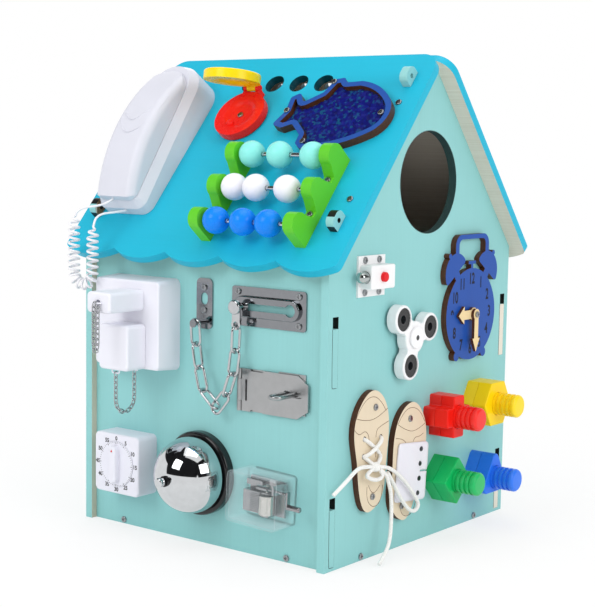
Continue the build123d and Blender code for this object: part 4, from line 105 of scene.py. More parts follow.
def painted_ply(name, paint, outward, grain, edge="painted", raw_way=None, rims=(), bare_back=True,
                gloss=0.42, gable=False, bare=("#8E7452", "#5F472A")):
    """Sprayed plywood: satin paint that lets the grain tell a little, over a bare, layered or burnt edge."""
    material, tree, shader = new_finish(name)
    place = add(tree, "ShaderNodeTexCoord").outputs["Object"]
    normal = add(tree, "ShaderNodeNewGeometry").outputs["Normal"]
    facing = add(tree, "ShaderNodeVectorMath", {0: normal, 1: outward}, operation="DOT_PRODUCT")
    facing = facing.outputs["Value"]
    depth = add(tree, "ShaderNodeVectorMath", {0: place, 1: outward}, operation="DOT_PRODUCT")
    # grain sizes are millimetres along each axis; the paint clouds over 60 mm and its spray over 1.6 mm
    fibres = add(tree, "ShaderNodeMapping", {"Vector": place, "Scale": [1 / (MM * size) for size in grain]})
    fibre = add(tree, "ShaderNodeTexNoise", {"Vector": fibres.outputs[0], "Scale": 1, "Detail": 4})
    fibre = fibre.outputs["Fac"]
    cloud = add(tree, "ShaderNodeTexNoise", {"Vector": place, "Scale": 1 / (60 * MM), "Detail": 2})
    spray = add(tree, "ShaderNodeTexNoise", {"Vector": place, "Scale": 1 / (1.6 * MM), "Detail": 1})
    spray = spray.outputs["Fac"]
    soft = add(tree, "ShaderNodeMath", {0: fibre, 1: cloud.outputs["Fac"]}, operation="MULTIPLY").outputs[0]
    lit, dull = shaded(paint, 1.03), shaded(paint, 0.90)
    coat = add(tree, "ShaderNodeMix", {0: soft, 6: lit, 7: dull}, data_type="RGBA")
    birch = add(tree, "ShaderNodeMix", {0: fibre, 6: linear(bare[0]), 7: linear(bare[1])}, data_type="RGBA")
    per_layer = 2 * math.pi / (PLY_LAYER * MM)
    steps = add(tree, "ShaderNodeMath", {0: depth.outputs["Value"], 1: per_layer}, operation="MULTIPLY")
    layer = add(tree, "ShaderNodeMath", {0: steps.outputs[0]}, operation="SINE").outputs[0]
    pale, brown = linear("#EBE6DA"), linear("#D2C9B6")
    layers = add(tree, "ShaderNodeMix", {0: layer, 6: pale, 7: brown}, data_type="RGBA")
    singed, charred = linear("#6B4029"), linear("#35190F")
    burnt = add(tree, "ShaderNodeMix", {0: fibre, 6: singed, 7: charred}, data_type="RGBA")
    side = add(tree, "ShaderNodeMath", {0: facing}, operation="ABSOLUTE").outputs[0]
    side = add(tree, "ShaderNodeMath", {0: side, 1: 0.5}, operation="LESS_THAN").outputs[0]
    if edge == "painted":
        colour = coat
    else:
        chosen = {"layers": layers, "burnt": burnt}[edge].outputs[2]
        colour = add(tree, "ShaderNodeMix", {0: side, 6: coat.outputs[2], 7: chosen}, data_type="RGBA")
    colour, layers, birch = colour.outputs[2], layers.outputs[2], birch.outputs[2]
    if raw_way:
        lean = add(tree, "ShaderNodeVectorMath", {0: normal, 1: raw_way}, operation="DOT_PRODUCT")
        lean = add(tree, "ShaderNodeMath", {0: lean.outputs["Value"]}, operation="ABSOLUTE").outputs[0]
        lean = add(tree, "ShaderNodeMath", {0: lean, 1: 0.8}, operation="GREATER_THAN").outputs[0]
        colour = add(tree, "ShaderNodeMix", {0: lean, 6: colour, 7: layers}, data_type="RGBA").outputs[2]
    # the rims of the holes take the paint darkened to a fifth and a tenth: painted shade inside the holes,
    # partly the laser's burnt edge under the paint
    shade, gloom = shaded(paint, 0.2), shaded(paint, 0.1)
    rim = add(tree, "ShaderNodeMix", {0: fibre, 6: shade, 7: gloom}, data_type="RGBA").outputs[2]
    for centre, radius in rims:
        gap = add(tree, "ShaderNodeVectorMath", {0: place, 1: centre}, operation="SUBTRACT").outputs[0]
        lift = add(tree, "ShaderNodeVectorMath", {0: gap, 1: outward}, operation="DOT_PRODUCT")
        lift = {0: outward, "Scale": lift.outputs["Value"]}
        lift = add(tree, "ShaderNodeVectorMath", lift, operation="SCALE").outputs[0]
        gap = add(tree, "ShaderNodeVectorMath", {0: gap, 1: lift}, operation="SUBTRACT").outputs[0]
        reach = add(tree, "ShaderNodeVectorMath", {0: gap}, operation="LENGTH").outputs["Value"]
        within = add(tree, "ShaderNodeMath", {0: reach, 1: (radius + RIM_MARGIN) * MM}, operation="LESS_THAN")
        within = within.outputs[0]
        colour = add(tree, "ShaderNodeMix", {0: within, 6: colour, 7: rim}, data_type="RGBA").outputs[2]
    back = birch
    if gable:
        # side faces between the wall's two faces line the slots of its tabs; they are painted near black, a
        # painted shade for the dark inside seen through the slots
        spread = add(tree, "ShaderNodeVectorMath", {0: place, 1: (0, 1, 0)}, operation="DOT_PRODUCT")
        spread = add(tree, "ShaderNodeMath", {0: spread.outputs["Value"]}, operation="ABSOLUTE").outputs[0]
        slot = {0: spread, 1: WALL_MIDDLE_Y * MM, 2: SLOT_REACH * MM}
        slot = add(tree, "ShaderNodeMath", slot, operation="COMPARE").outputs[0]
        slot = add(tree, "ShaderNodeMath", {0: slot, 1: side}, operation="MULTIPLY").outputs[0]
        slot_shade = linear("#1B1D1C")
        colour = add(tree, "ShaderNodeMix", {0: slot, 6: colour, 7: slot_shade}, data_type="RGBA").outputs[2]
        outer = {0: spread, 1: WALL_FACE_Y * MM}
        outer = add(tree, "ShaderNodeMath", outer, operation="GREATER_THAN").outputs[0]
        back = add(tree, "ShaderNodeMix", {0: outer, 6: birch, 7: layers}, data_type="RGBA").outputs[2]
    # inner faces take the bare tones; the default tones are bare birch darkened with painted shade for the
    # unlit inside of the house
    if bare_back:
        inner = add(tree, "ShaderNodeMath", {0: facing, 1: -0.5}, operation="LESS_THAN").outputs[0]
        colour = add(tree, "ShaderNodeMix", {0: inner, 6: colour, 7: back}, data_type="RGBA").outputs[2]
    rough = add(tree, "ShaderNodeMapRange", {0: spray, 3: gloss - 0.05, 4: gloss + 0.07})
    relief = add(tree, "ShaderNodeMath", {0: fibre, 1: spray}, operation="ADD").outputs[0]
    bump = add(tree, "ShaderNodeBump", {"Strength": 0.10, "Distance": 0.12 * MM, "Height": relief})
    fill(tree, shader, {"Base Color": colour, "Roughness": rough.outputs[0]})
    fill(tree, shader, {"Normal": bump.outputs[0], "Specular IOR Level": 0.3})
    return material


def smooth(mesh):
    """Shades a mesh smooth."""
    mesh.polygons.foreach_set("use_smooth", [True] * len(mesh.polygons))


def dress(finish, *names):
    """Gives CAD nodes a finish, and smooth shading between their real edges."""
    for name in names:
        mesh = nodes[name].data
        mesh.materials.clear()
        mesh.materials.append(finish)
        smooth(mesh)
        weld = nodes[name].modifiers.new("weld", "WELD")
        weld.merge_threshold = WELD * MM
        split = nodes[name].modifiers.new("edges", "EDGE_SPLIT")
        split.split_angle = SHARP_EDGE


hole_rim = [((GABLE_X * MM, 0, GABLE_HOLE_HEIGHT * MM), GABLE_HOLE / 2)]
slope = (0, -math.cos(PITCH), -math.sin(PITCH))
ridge_rims = []
for step in (-1.5, -0.5, 0.5, 1.5):
    ridge = Vector((RIDGE_HOLE_SHIFT + step * RIDGE_HOLE_PITCH, 0, RIDGE_Z))
    middle = ridge + RIDGE_HOLE_DROP * Vector(slope)
    ridge_rims.append((tuple(middle * MM), RIDGE_HOLE / 2))
rear_rims = [((x, -y, z), radius) for (x, y, z), radius in ridge_rims]
dress(painted_ply("mint_ply_front", MINT, (0, -1, 0), UPRIGHT_GRAIN), "front_wall")
dress(painted_ply("mint_ply_rear", MINT, (0, 1, 0), UPRIGHT_GRAIN, raw_way=(1, 0, 0)), "rear_wall")
dress(painted_ply("mint_ply_left", MINT, (-1, 0, 0), UPRIGHT_GRAIN, gable=True), "left_gable")
dress(painted_ply("mint_ply_right", MINT, (1, 0, 0), UPRIGHT_GRAIN, rims=hole_rim, gable=True), "right_gable")
bare_floor = painted_ply("bare_ply_floor", "#E3CFA6", (0, 0, -1), LEVEL_GRAIN, edge="layers", gloss=0.6)
dress(bare_floor, "floor_panel")
front_up = (0, -math.sin(PITCH), math.cos(PITCH))
rear_up = (0, math.sin(PITCH), math.cos(PITCH))
roof_bare = ("#EFE9DE", "#D5CBBA")
for side, outward, holes in (("front", front_up, ridge_rims), ("rear", rear_up, rear_rims)):
    finish = painted_ply("turquoise_ply_" + side, TURQUOISE, outward, ROOF_GRAIN, rims=holes, bare=roof_bare)
    dress(finish, side + "_roof")


# Screws: pan-head cross-recess wood screws through the panels and the fittings, and the spinner's axle.
# Bright zinc-plated steel, drawn and rolled, so the heads are smooth with a few dull smudges.

def plated_steel(name, tone, roughness, brush=None, smudge=0.08):
    """Plated steel: a clean metal whose roughness drifts, with fine lines where it was brushed."""
    material, tree, shader = new_finish(name)
    place = add(tree, "ShaderNodeTexCoord").outputs["Object"]
    # smudges of about 6 mm, and brush lines 0.25 mm apart and 12 mm long
    cloud = add(tree, "ShaderNodeTexNoise", {"Vector": place, "Scale": 1 / (6 * MM), "Detail": 3})
    cloud = cloud.outputs["Fac"]
    clean = max(0.02, roughness - smudge / 2)
    rough = add(tree, "ShaderNodeMapRange", {0: cloud, 3: clean, 4: roughness + smudge})
    bright, dull = shaded(tone, 1.04), shaded(tone, 0.9)
    colour = add(tree, "ShaderNodeMix", {0: cloud, 6: bright, 7: dull}, data_type="RGBA")
    if brush:
        scales = [1 / (MM * (12 if part else 0.25)) for part in brush]
        lines = add(tree, "ShaderNodeMapping", {"Vector": place, "Scale": scales})
        line = add(tree, "ShaderNodeTexNoise", {"Vector": lines.outputs[0], "Scale": 1, "Detail": 2})
        relief = line.outputs["Fac"]
        bump = add(tree, "ShaderNodeBump", {"Strength": 0.25, "Distance": 0.04 * MM, "Height": relief})
        fill(tree, shader, {"Normal": bump.outputs[0]})
    fill(tree, shader, {"Base Color": colour.outputs[2], "Roughness": rough.outputs[0], "Metallic": 1})
    return material


SPINNER_Y = -35.4
SPINNER_Z = 195.3
AXLE_CAP = 10.4
AXLE_SCREW = 2.4
screw_steel = plated_steel("zinc_screw_steel", "#A7A9AC", 0.3)
tree = screw_steel.node_tree
shader = tree.nodes["Principled BSDF"]
place = add(tree, "ShaderNodeTexCoord").outputs["Object"]
level = add(tree, "ShaderNodeVectorMath", {0: place, 1: (0, 1, 1)}, operation="MULTIPLY").outputs[0]
hub = (0, SPINNER_Y * MM, SPINNER_Z * MM)
reach = add(tree, "ShaderNodeVectorMath", {0: level, 1: hub}, operation="DISTANCE").outputs["Value"]
# the spinner's axle ends in a white cap with a dark screw in its middle
cap = add(tree, "ShaderNodeMath", {0: reach, 1: AXLE_CAP * MM}, operation="LESS_THAN").outputs[0]
pip = add(tree, "ShaderNodeMath", {0: reach, 1: AXLE_SCREW * MM}, operation="LESS_THAN").outputs[0]
steel = shader.inputs["Base Color"].links[0].from_socket
colour = add(tree, "ShaderNodeMix", {0: cap, 6: steel, 7: linear("#F1F1F3")}, data_type="RGBA")
colour = add(tree, "ShaderNodeMix", {0: pip, 6: colour.outputs[2], 7: linear("#2A2A2C")}, data_type="RGBA")
metal = add(tree, "ShaderNodeMath", {0: 1.0, 1: cap}, operation="SUBTRACT")
fill(tree, shader, {"Base Color": colour.outputs[2], "Metallic": metal.outputs[0]})
dress(screw_steel, "wood_screws")


# Telephone: a wedge-shaped base screwed to the roof from inside, with the handset lying on its seat.
# Moulded ABS in a cool white, finely spark-eroded, so it has a soft satin sheen and no gloss.

def moulded_plastic(name, colour, roughness=0.38, grain=0.5, relief=0.06):
    """Moulded ABS: even colour with a faint drift, and the mould's fine grain in the gloss."""
    material, tree, shader = new_finish(name)
    place = add(tree, "ShaderNodeTexCoord").outputs["Object"]
    # the colour drifts over 25 mm; the mould's grain is given in millimetres
    drift = add(tree, "ShaderNodeTexNoise", {"Vector": place, "Scale": 1 / (25 * MM), "Detail": 2})
    skin = add(tree, "ShaderNodeTexNoise", {"Vector": place, "Scale": 1 / (grain * MM), "Detail": 2})
    skin = skin.outputs["Fac"]
    lit, dull = shaded(colour, 1.02), shaded(colour, 0.95)
    body = add(tree, "ShaderNodeMix", {0: drift.outputs["Fac"], 6: lit, 7: dull}, data_type="RGBA")
    rough = add(tree, "ShaderNodeMapRange", {0: skin, 3: roughness - 0.05, 4: roughness + 0.08})
    bump = add(tree, "ShaderNodeBump", {"Strength": relief, "Distance": 0.06 * MM, "Height": skin})
    fill(tree, shader, {"Base Color": body.outputs[2], "Roughness": rough.outputs[0]})
    fill(tree, shader, {"Normal": bump.outputs[0], "IOR": 1.53, "Specular IOR Level": 0.22})
    return material


phone_white = moulded_plastic("phone_white_abs", "#D5D6E0")
dress(phone_white, "phone_base", "phone_handset")


# Curly cord: one white PVC wire, wound tight and heat-set, that hangs in a loop from handset to base.
# Its route is one smooth line, and the curls run round that line between two straight leads.

CORD_WIRE = 2.2
CURL_RADIUS = 4.8
CURLS = 23
CURL_START = 0.19
CURL_END = 0.81
CURL_SWELL = 14
WIRE_STEP = 0.22
HANDSET_LINE = 1.0
cord_route = (
    (-108.0, -149.3, 314.0), (-109.5, -160.0, 306.5), (-131.5, -176.5, 304.0), (-133.0, -178.1, 287.0),
    (-133.0, -178.1, 262.0), (-133.0, -178.1, 233.0), (-108.0, -178.1, 233.0), (-108.0, -178.1, 262.0),
    (-108.0, -178.1, 287.0), (-108.0, -172.0, 299.0), (-101.0, -150.0, 300.5), (-101.0, -141.0, 301.9),
)


def put(name, data):
    """An object of some data, in the scene."""
    thing = bpy.data.objects.new(name, data)
    bpy.context.scene.collection.objects.link(thing)
    return thing


def smooth_line(name, route, bevel=0.0):
    """One open NURBS curve with the route's points, in millimetres, as its control points."""
    curve = bpy.data.curves.new(name, "CURVE")
    curve.dimensions = "3D"
    curve.resolution_u = 24
    curve.bevel_depth = bevel * MM
    curve.bevel_resolution = 3
    curve.use_fill_caps = True
    spline = curve.splines.new("NURBS")
    spline.points.add(len(route) - 1)
    for point, spot in zip(spline.points, route):
        point.co = [value * MM for value in spot] + [1]
    spline.order_u = 3
    spline.use_endpoint_u = True
    return put(name, curve)


def plain_mesh(thing):
    """The evaluated form of an object as a plain mesh."""
    bpy.context.view_layer.update()
    return bpy.data.meshes.new_from_object(thing.evaluated_get(bpy.context.evaluated_depsgraph_get()))


def line_points(route):
    """Points along the route's smooth line."""
    guide = smooth_line("guide", route)
    points = [vertex.co.copy() for vertex in plain_mesh(guide).vertices]
    bpy.data.objects.remove(guide)
    return points


def run_length(points):
    """The length of a run of points."""
    return sum((there - here).length for here, there in zip(points, points[1:]))


def make_piece(name, mesh, finish, body, replaced=()):
    """A finished piece with its place in its mesh, riding on a body."""
    mesh.materials.clear()
    mesh.materials.append(finish)
    piece = put(name, mesh)
    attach(piece, body)
    if replaced:
        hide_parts(*replaced)
    return piece


HANDSET_LINES = (
    ((-122.6, -127.2, 386.7), (-115.3, -132.8, 378.4), (-106.0, -135.6, 374.6), (-93.0, -132.4, 379.4),
     (-85.5, -122.4, 391.0), (-83.0, -104.2, 407.8), (-87.2, -87.1, 425.3), (-90.7, -81.3, 429.8)),
    ((-120.9, -122.6, 393.0), (-112.0, -127.0, 387.4), (-103.4, -126.8, 387.6), (-90.4, -117.4, 399.2),
     (-87.8, -100.8, 415.1), (-92.1, -82.2, 429.2)),
)


def closed(name, shape):
    """A mesh of an edited shape, which is then let go."""
    mesh = bpy.data.meshes.new(name)
    shape.to_mesh(mesh)
    shape.free()
    return mesh


def threads(name, routes, width):
    """Fine lines as one mesh, each along a route of points in millimetres."""
    shape = bmesh.new()
    for route in routes:
        thread = smooth_line(name, route, width / 2)
        shape.from_mesh(plain_mesh(thread))
        bpy.data.objects.remove(thread)
    mesh = closed(name, shape)
    smooth(mesh)
    return mesh


handset_relief = threads("handset_relief", HANDSET_LINES, HANDSET_LINE)
make_piece("handset_relief", handset_relief, phone_white, "phone_handset")

guide_points = line_points(cord_route)
whole = run_length(guide_points)
curl_start = CURL_START * whole
curl_end = CURL_END * whole
wire_points = []
run = 0.0
for here, there in zip(guide_points, guide_points[1:]):
    way = (there - here).normalized()
    level = way.cross(Vector((0, 1, 0))).normalized()
    rear = level.cross(way)
    reach = (there - here).length
    pieces = max(1, round(reach / (WIRE_STEP * MM)))
    for count in range(pieces):
        spot = here.lerp(there, count / pieces)
        along = run + reach * count / pieces
        share = (along - curl_start) / (curl_end - curl_start)
        swell = max(0, min(1, CURL_SWELL * share, CURL_SWELL * (1 - share)))
        turn = 2 * math.pi * CURLS * max(0, min(1, share))
        wind = math.cos(turn) * level + math.sin(turn) * rear
        wire_points.append(spot + swell * swell * (3 - 2 * swell) * CURL_RADIUS * MM * wind)
    run += reach
wire_points.append(guide_points[-1])
wire = bpy.data.curves.new("curly_wire", "CURVE")
wire.dimensions = "3D"
wire.bevel_depth = CORD_WIRE / 2 * MM
wire.bevel_resolution = 2
wire.use_fill_caps = True
strand = wire.splines.new("POLY")
strand.points.add(len(wire_points) - 1)
for point, spot in zip(strand.points, wire_points):
    point.co = [*spot, 1]
strand.use_smooth = True
wire_line = put("curly_wire", wire)
wire_mesh = plain_mesh(wire_line)
bpy.data.objects.remove(wire_line)
cord_white = moulded_plastic("cord_white_pvc", "#EDECF0", 0.32)
curly = make_piece("curly_cord_wire", wire_mesh, cord_white, "house", ["curly_cord"])


# Castanet: two turned wooden shells joined by a wooden hinge, the lower one screwed to the roof.
# Dipped in red and yellow nursery enamel, which flows out to a clear gloss.

def gloss_enamel(name, colour, roughness=0.26, coat=0.05):
    """Dipped enamel over wood: clear gloss, with slow waves where it flowed out."""
    material, tree, shader = new_finish(name)
    place = add(tree, "ShaderNodeTexCoord").outputs["Object"]
    # waves of about 9 mm
    flow = add(tree, "ShaderNodeTexNoise", {"Vector": place, "Scale": 1 / (9 * MM), "Detail": 2})
    flow = flow.outputs["Fac"]
    lit, dull = shaded(colour, 1.03), shaded(colour, 0.93)
    body = add(tree, "ShaderNodeMix", {0: flow, 6: lit, 7: dull}, data_type="RGBA")
    rough = add(tree, "ShaderNodeMapRange", {0: flow, 3: roughness - 0.04, 4: roughness + 0.06})
    bump = add(tree, "ShaderNodeBump", {"Strength": 0.05, "Distance": 0.3 * MM, "Height": flow})
    fill(tree, shader, {"Base Color": body.outputs[2], "Roughness": rough.outputs[0]})
    fill(tree, shader, {"Normal": bump.outputs[0], "IOR": 1.5, "Specular IOR Level": 0.2})
    fill(tree, shader, {"Coat Weight": coat, "Coat Roughness": 0.06})
    return material


dress(gloss_enamel("castanet_red", "#F4251E"), "castanet_base")
dress(gloss_enamel("castanet_yellow", "#FAD80F"), "castanet_clapper")


# Bead abacus: two lobed plywood brackets screwed to the roof, with three steel rods let into them.
# Nine turned wooden beads, dipped in gloss enamel, slide on the rods.

BRACKET_GRAIN = (1.4, 50, 50)
lime_ply = painted_ply("lime_ply_bracket", "#60C828", (1, 0, 0), BRACKET_GRAIN, bare_back=False, gloss=0.36)
dress(lime_ply, "abacus_brackets")
dress(plated_steel("polished_rod_steel", "#C9CBCE", 0.14), "abacus_rods")
for row, colour in (("mint", "#8EEAE2"), ("white", "#F4F3F8"), ("blue", "#0F84F0")):
    beads = [f"bead_{row}_{side}" for side in ("left", "middle", "right")]
    dress(gloss_enamel(row + "_bead_enamel", colour), *beads)


# Whale: a cut plywood frame round a field of sequin cloth, screwed to the roof.
# The frame is painted dark blue with edges browned by the laser; the sequins overlap like scales.

WHALE_BLUE = "#2351A2"
WHALE_GRAIN = (50, 1.4, 1.4)
WHALE_X = 80.8
WHALE_DROP = 90.5
SEQUIN = 3.4
SEQUIN_STEP = 2.5
SEQUIN_TILT = 12
SEQUIN_RISE = 3.65
SEQUIN_ROWS = 18
SEQUIN_COLUMNS = 28
SEQUIN_MARGIN = 2
ROW_SHARE = 0.86
RAY_OUT = 20
STITCH = 0.9


def on_roof(x, drop):
    """Place on the front roof, in metres, with its axes right, up the slope and out of the roof."""
    right = Vector((1, 0, 0))
    up = Vector((0, math.cos(PITCH), math.sin(PITCH)))
    place = Matrix((right, up, right.cross(up))).transposed().to_4x4()
    place.translation = (Vector((x, 0, RIDGE_Z)) - drop * up) * MM
    return place


def seeded(name, sizes):
    """A new Geometry Nodes tree, with the sockets of its mesh and of its named sizes, and its input node."""
    tree = bpy.data.node_groups.new(name, "GeometryNodeTree")
    tree.interface.new_socket("Geometry", in_out="INPUT", socket_type="NodeSocketGeometry")
    for size, kind in sizes.items():
        tree.interface.new_socket(size, in_out="INPUT", socket_type="NodeSocket" + kind)
    tree.interface.new_socket("Geometry", in_out="OUTPUT", socket_type="NodeSocketGeometry")
    return tree, add(tree, "NodeGroupInput")


def set_out(tree, points, thing, turn, finish):
    """Ends a tree: copies of a thing stand turned at the points, become real and get their finish."""
    setting = {"Points": points, "Instance": thing, "Rotation": turn}
    copies = add(tree, "GeometryNodeInstanceOnPoints", setting)
    real = add(tree, "GeometryNodeRealizeInstances", {0: copies.outputs[0]})
    done = add(tree, "GeometryNodeSetMaterial", {0: real.outputs[0], "Material": finish})
    add(tree, "NodeGroupOutput", {0: done.outputs[0]})


def grown(tree, sizes, start):
    """Runs a Geometry Nodes tree with its named sizes on a mesh and gives the plain mesh."""
    carrier = put(tree.name, start)
    modifier = carrier.modifiers.new(tree.name, "NODES")
    modifier.node_group = tree
    for item in tree.interface.items_tree:
        if item.item_type == "SOCKET" and item.in_out == "INPUT" and item.name in sizes:
            modifier[item.identifier] = sizes[item.name]
    mesh = plain_mesh(carrier)
    bpy.data.objects.remove(carrier)
    return mesh


whale_ply = painted_ply("whale_blue_ply", WHALE_BLUE, front_up, WHALE_GRAIN, edge="burnt", bare_back=False,
                        gloss=0.34)
dress(whale_ply, "whale_frame")

sequin_foil, tree, shader = new_finish("navy_sequin_foil")
place = add(tree, "ShaderNodeTexCoord").outputs["Object"]
# each sequin takes a tone at random from navy to teal: the teal ones are painted glints, sequins catching the
# light
speck = add(tree, "ShaderNodeTexVoronoi", {"Vector": place, "Scale": 1 / (SEQUIN_STEP * MM)}).outputs["Color"]
tint = add(tree, "ShaderNodeSeparateColor", {0: speck})
ramp = add(tree, "ShaderNodeValToRGB", {0: tint.outputs[0]})
ramp.color_ramp.elements[0].color = linear("#090D5E")
ramp.color_ramp.elements[1].color = linear("#10567C")
navy = ramp.color_ramp.elements.new(0.74)
navy.color = linear("#0D1680")
fill(tree, shader, {"Base Color": ramp.outputs[0], "Metallic": 0.12, "Roughness": 0.4})
fill(tree, shader, {"Specular IOR Level": 0.18})

sequin_tree, given = seeded("sequin_rows", {"Width": "Float", "Tilt": "Float"})
width, tilt = given.outputs["Width"], given.outputs["Tilt"]
half = add(sequin_tree, "ShaderNodeMath", {0: width, 1: 0.5}, operation="MULTIPLY").outputs[0]
disc = add(sequin_tree, "GeometryNodeMeshCircle", {"Vertices": 10, "Radius": half}, fill_type="TRIANGLE_FAN")
wobble = add(sequin_tree, "FunctionNodeRandomValue", {2: -0.5, 3: 0.5, "Seed": 7}).outputs[1]
lean = add(sequin_tree, "ShaderNodeMath", {0: wobble, 1: 1.0}, operation="ADD").outputs[0]
lean = add(sequin_tree, "ShaderNodeMath", {0: lean, 1: tilt}, operation="MULTIPLY").outputs[0]
sway = add(sequin_tree, "ShaderNodeMath", {0: wobble, 1: tilt}, operation="MULTIPLY").outputs[0]
turn = add(sequin_tree, "ShaderNodeCombineXYZ", {0: lean, 1: sway})
points = add(sequin_tree, "GeometryNodeMeshToPoints", {0: given.outputs["Geometry"]})
set_out(sequin_tree, points.outputs[0], disc.outputs[0], turn.outputs[0], sequin_foil)

pad_mesh = nodes["whale_sequins"].data
pad_tree = BVHTree.FromPolygons([v.co for v in pad_mesh.vertices], [p.vertices[:] for p in pad_mesh.polygons])
whale_middle = on_roof(WHALE_X, WHALE_DROP)
away = (whale_middle.to_3x3() @ Vector((0, 0, 1))).normalized()
# a sequin is sewn only where the pad lies under its middle and all round it
eighths = [step * math.pi / 4 for step in range(8)]
margin = [(0, 0)] + [(SEQUIN_MARGIN * math.cos(turn), SEQUIN_MARGIN * math.sin(turn)) for turn in eighths]
spots = []
for row in range(-SEQUIN_ROWS, SEQUIN_ROWS + 1):
    for count in range(-SEQUIN_COLUMNS, SEQUIN_COLUMNS + 1):
        u = (count + (row % 2) / 2) * SEQUIN_STEP
        v = row * SEQUIN_STEP * ROW_SHARE
        ring = [Vector((u + du, v + dv, RAY_OUT)) * MM for du, dv in margin]
        rays = [pad_tree.ray_cast(whale_middle @ spot, -away) for spot in ring]
        if all(ray[0] is not None for ray in rays):
            spots.append((u * MM, v * MM, SEQUIN_RISE * MM))
start = bpy.data.meshes.new("sequin_spots")
start.from_pydata(spots, [], [])
sequins = grown(sequin_tree, {"Width": SEQUIN * MM, "Tilt": math.radians(SEQUIN_TILT)}, start)
sequins.transform(whale_middle)


def stitched(name, first, second, stitch, relief, depth, roughness, sheen=0.0):
    """Knitted or braided yarn: stitches of a size in millimetres, raised in their middles."""
    material, tree, shader = new_finish(name)
    place = add(tree, "ShaderNodeTexCoord").outputs["Object"]
    yarn = add(tree, "ShaderNodeTexVoronoi", {"Vector": place, "Scale": 1 / (stitch * MM)})
    yarn = yarn.outputs["Distance"]
    tone = add(tree, "ShaderNodeMix", {0: yarn, 6: linear(first), 7: linear(second)}, data_type="RGBA")
    bump = add(tree, "ShaderNodeBump", {"Strength": relief, "Distance": depth * MM, "Height": yarn})
    fill(tree, shader, {"Base Color": tone.outputs[2], "Normal": bump.outputs[0]})
    fill(tree, shader, {"Roughness": roughness, "Sheen Weight": sheen})
    return material


backing = stitched("navy_knit_backing", "#0B1238", "#141F5C", STITCH, 0.4, 0.2, 0.8)
cloth_shape = bmesh.new()
cloth_shape.from_mesh(pad_mesh)
bmesh.ops.remove_doubles(cloth_shape, verts=cloth_shape.verts, dist=WELD * MM)
cloth_mesh = closed("sequin_cloth", cloth_shape)
sequin_cloth = make_piece("sequin_cloth", cloth_mesh, backing, "house", ["whale_sequins"])
make_piece("sequin_scales", sequins, sequin_foil, "house")


# Wall socket and its two plugs: moulded white fittings with the pins held in pockets.
# Both plugs hang on short nickel chains, so they stay with the house when they are pulled.

dress(moulded_plastic("socket_white_abs", "#E9E9F2", 0.34), "socket_box", "two_pin_plug", "three_pin_plug")
dress(plated_steel("nickel_chain_wire", "#B9BABC", 0.18), "plug_chains")


# Door chain: an anchor plate, a slotted track, the slider in it and two halves of oval links.
# Pressed and bent steel, bright chrome on the links and a darker mirror chrome on the track.

link_chrome = plated_steel("bright_chrome_links", "#C6C8CA", 0.1)
dress(link_chrome, "door_chain_left", "door_chain_right", "chain_slider")
dress(plated_steel("mirror_chrome_track", "#8E9094", 0.1), "door_chain_plates")


# Hasp and staple: a leaf under the swinging plate, a bent-wire staple and the plate with cut corners.
# Satin stainless steel, brushed along its length.

dress(plated_steel("satin_hasp_steel", "#B4B5B6", 0.3, brush=(1, 0, 0)), "hasp_leaf", "hasp_plate")


# Kitchen timer: a square white case with a round dial set in its face and a grip bar across the dial.
# Moulded ABS; the minutes are printed on the case, their marks on the dial and a red point on its grip.

FRONT_Y = -143.5
TIMER_X = -86.0
TIMER_Z = 64.5
CASE_OUT = 25.0
DIAL_OUT = 25.6
GRIP_RISE = 6.0
PRINT_RISE = 0.04
FIGURE_RING = 24.4
FIGURE_HEIGHT = 5.3
FIGURE_BOLD = 0.2
MARK_RING = 21.2
POINTER_HALF = 1.3
POINTER_FOOT = 12.4
POINTER_TIP = 15.0
TIMER_FIGURES = [str(minute) for minute in range(0, 60, 5)]
# how many marks, and how long and wide
TIMER_MARKS = {"timer_minutes": (60, 1.1, 0.42), "timer_fives": (12, 1.9, 0.6)}

dress(moulded_plastic("timer_white_abs", "#E6E6F0", 0.3), "timer_case", "timer_dial")


def two_tone(name, first, second, speck, roughness, detail=3):
    """Ink, scorch or painted shade on a surface: two tones that change over specks of a size in millimetres.
    """
    material, tree, shader = new_finish(name)
    place = add(tree, "ShaderNodeTexCoord").outputs["Object"]
    wear = add(tree, "ShaderNodeTexNoise", {"Vector": place, "Scale": 1 / (speck * MM), "Detail": detail})
    tones = {0: wear.outputs["Fac"], 6: linear(first), 7: linear(second)}
    colour = add(tree, "ShaderNodeMix", tones, data_type="RGBA")
    fill(tree, shader, {"Base Color": colour.outputs[2], "Roughness": roughness})
    return material


def on_front(x, z, out=0):
    """Place on the front wall, in metres: right, up and out of the wall."""
    place = Matrix(((1, 0, 0), (0, 0, 1), (0, -1, 0))).transposed().to_4x4()
    place.translation = Vector((x, FRONT_Y - out, z)) * MM
    return place


def printed_figures(name, figures, height, bold=0.0):
    """Flat figures as one mesh: each is its text and its place, in metres."""
    shape = bmesh.new()
    for text, place in figures:
        curve = bpy.data.curves.new(name, "FONT")
        curve.body = text
        curve.size = height * MM
        curve.offset = bold * MM
        curve.align_x = "CENTER"
        curve.align_y = "CENTER"
        figure = put(name, curve)
        mesh = plain_mesh(figure)
        bpy.data.objects.remove(figure)
        mesh.transform(place)
        shape.from_mesh(mesh)
    return closed(name, shape)


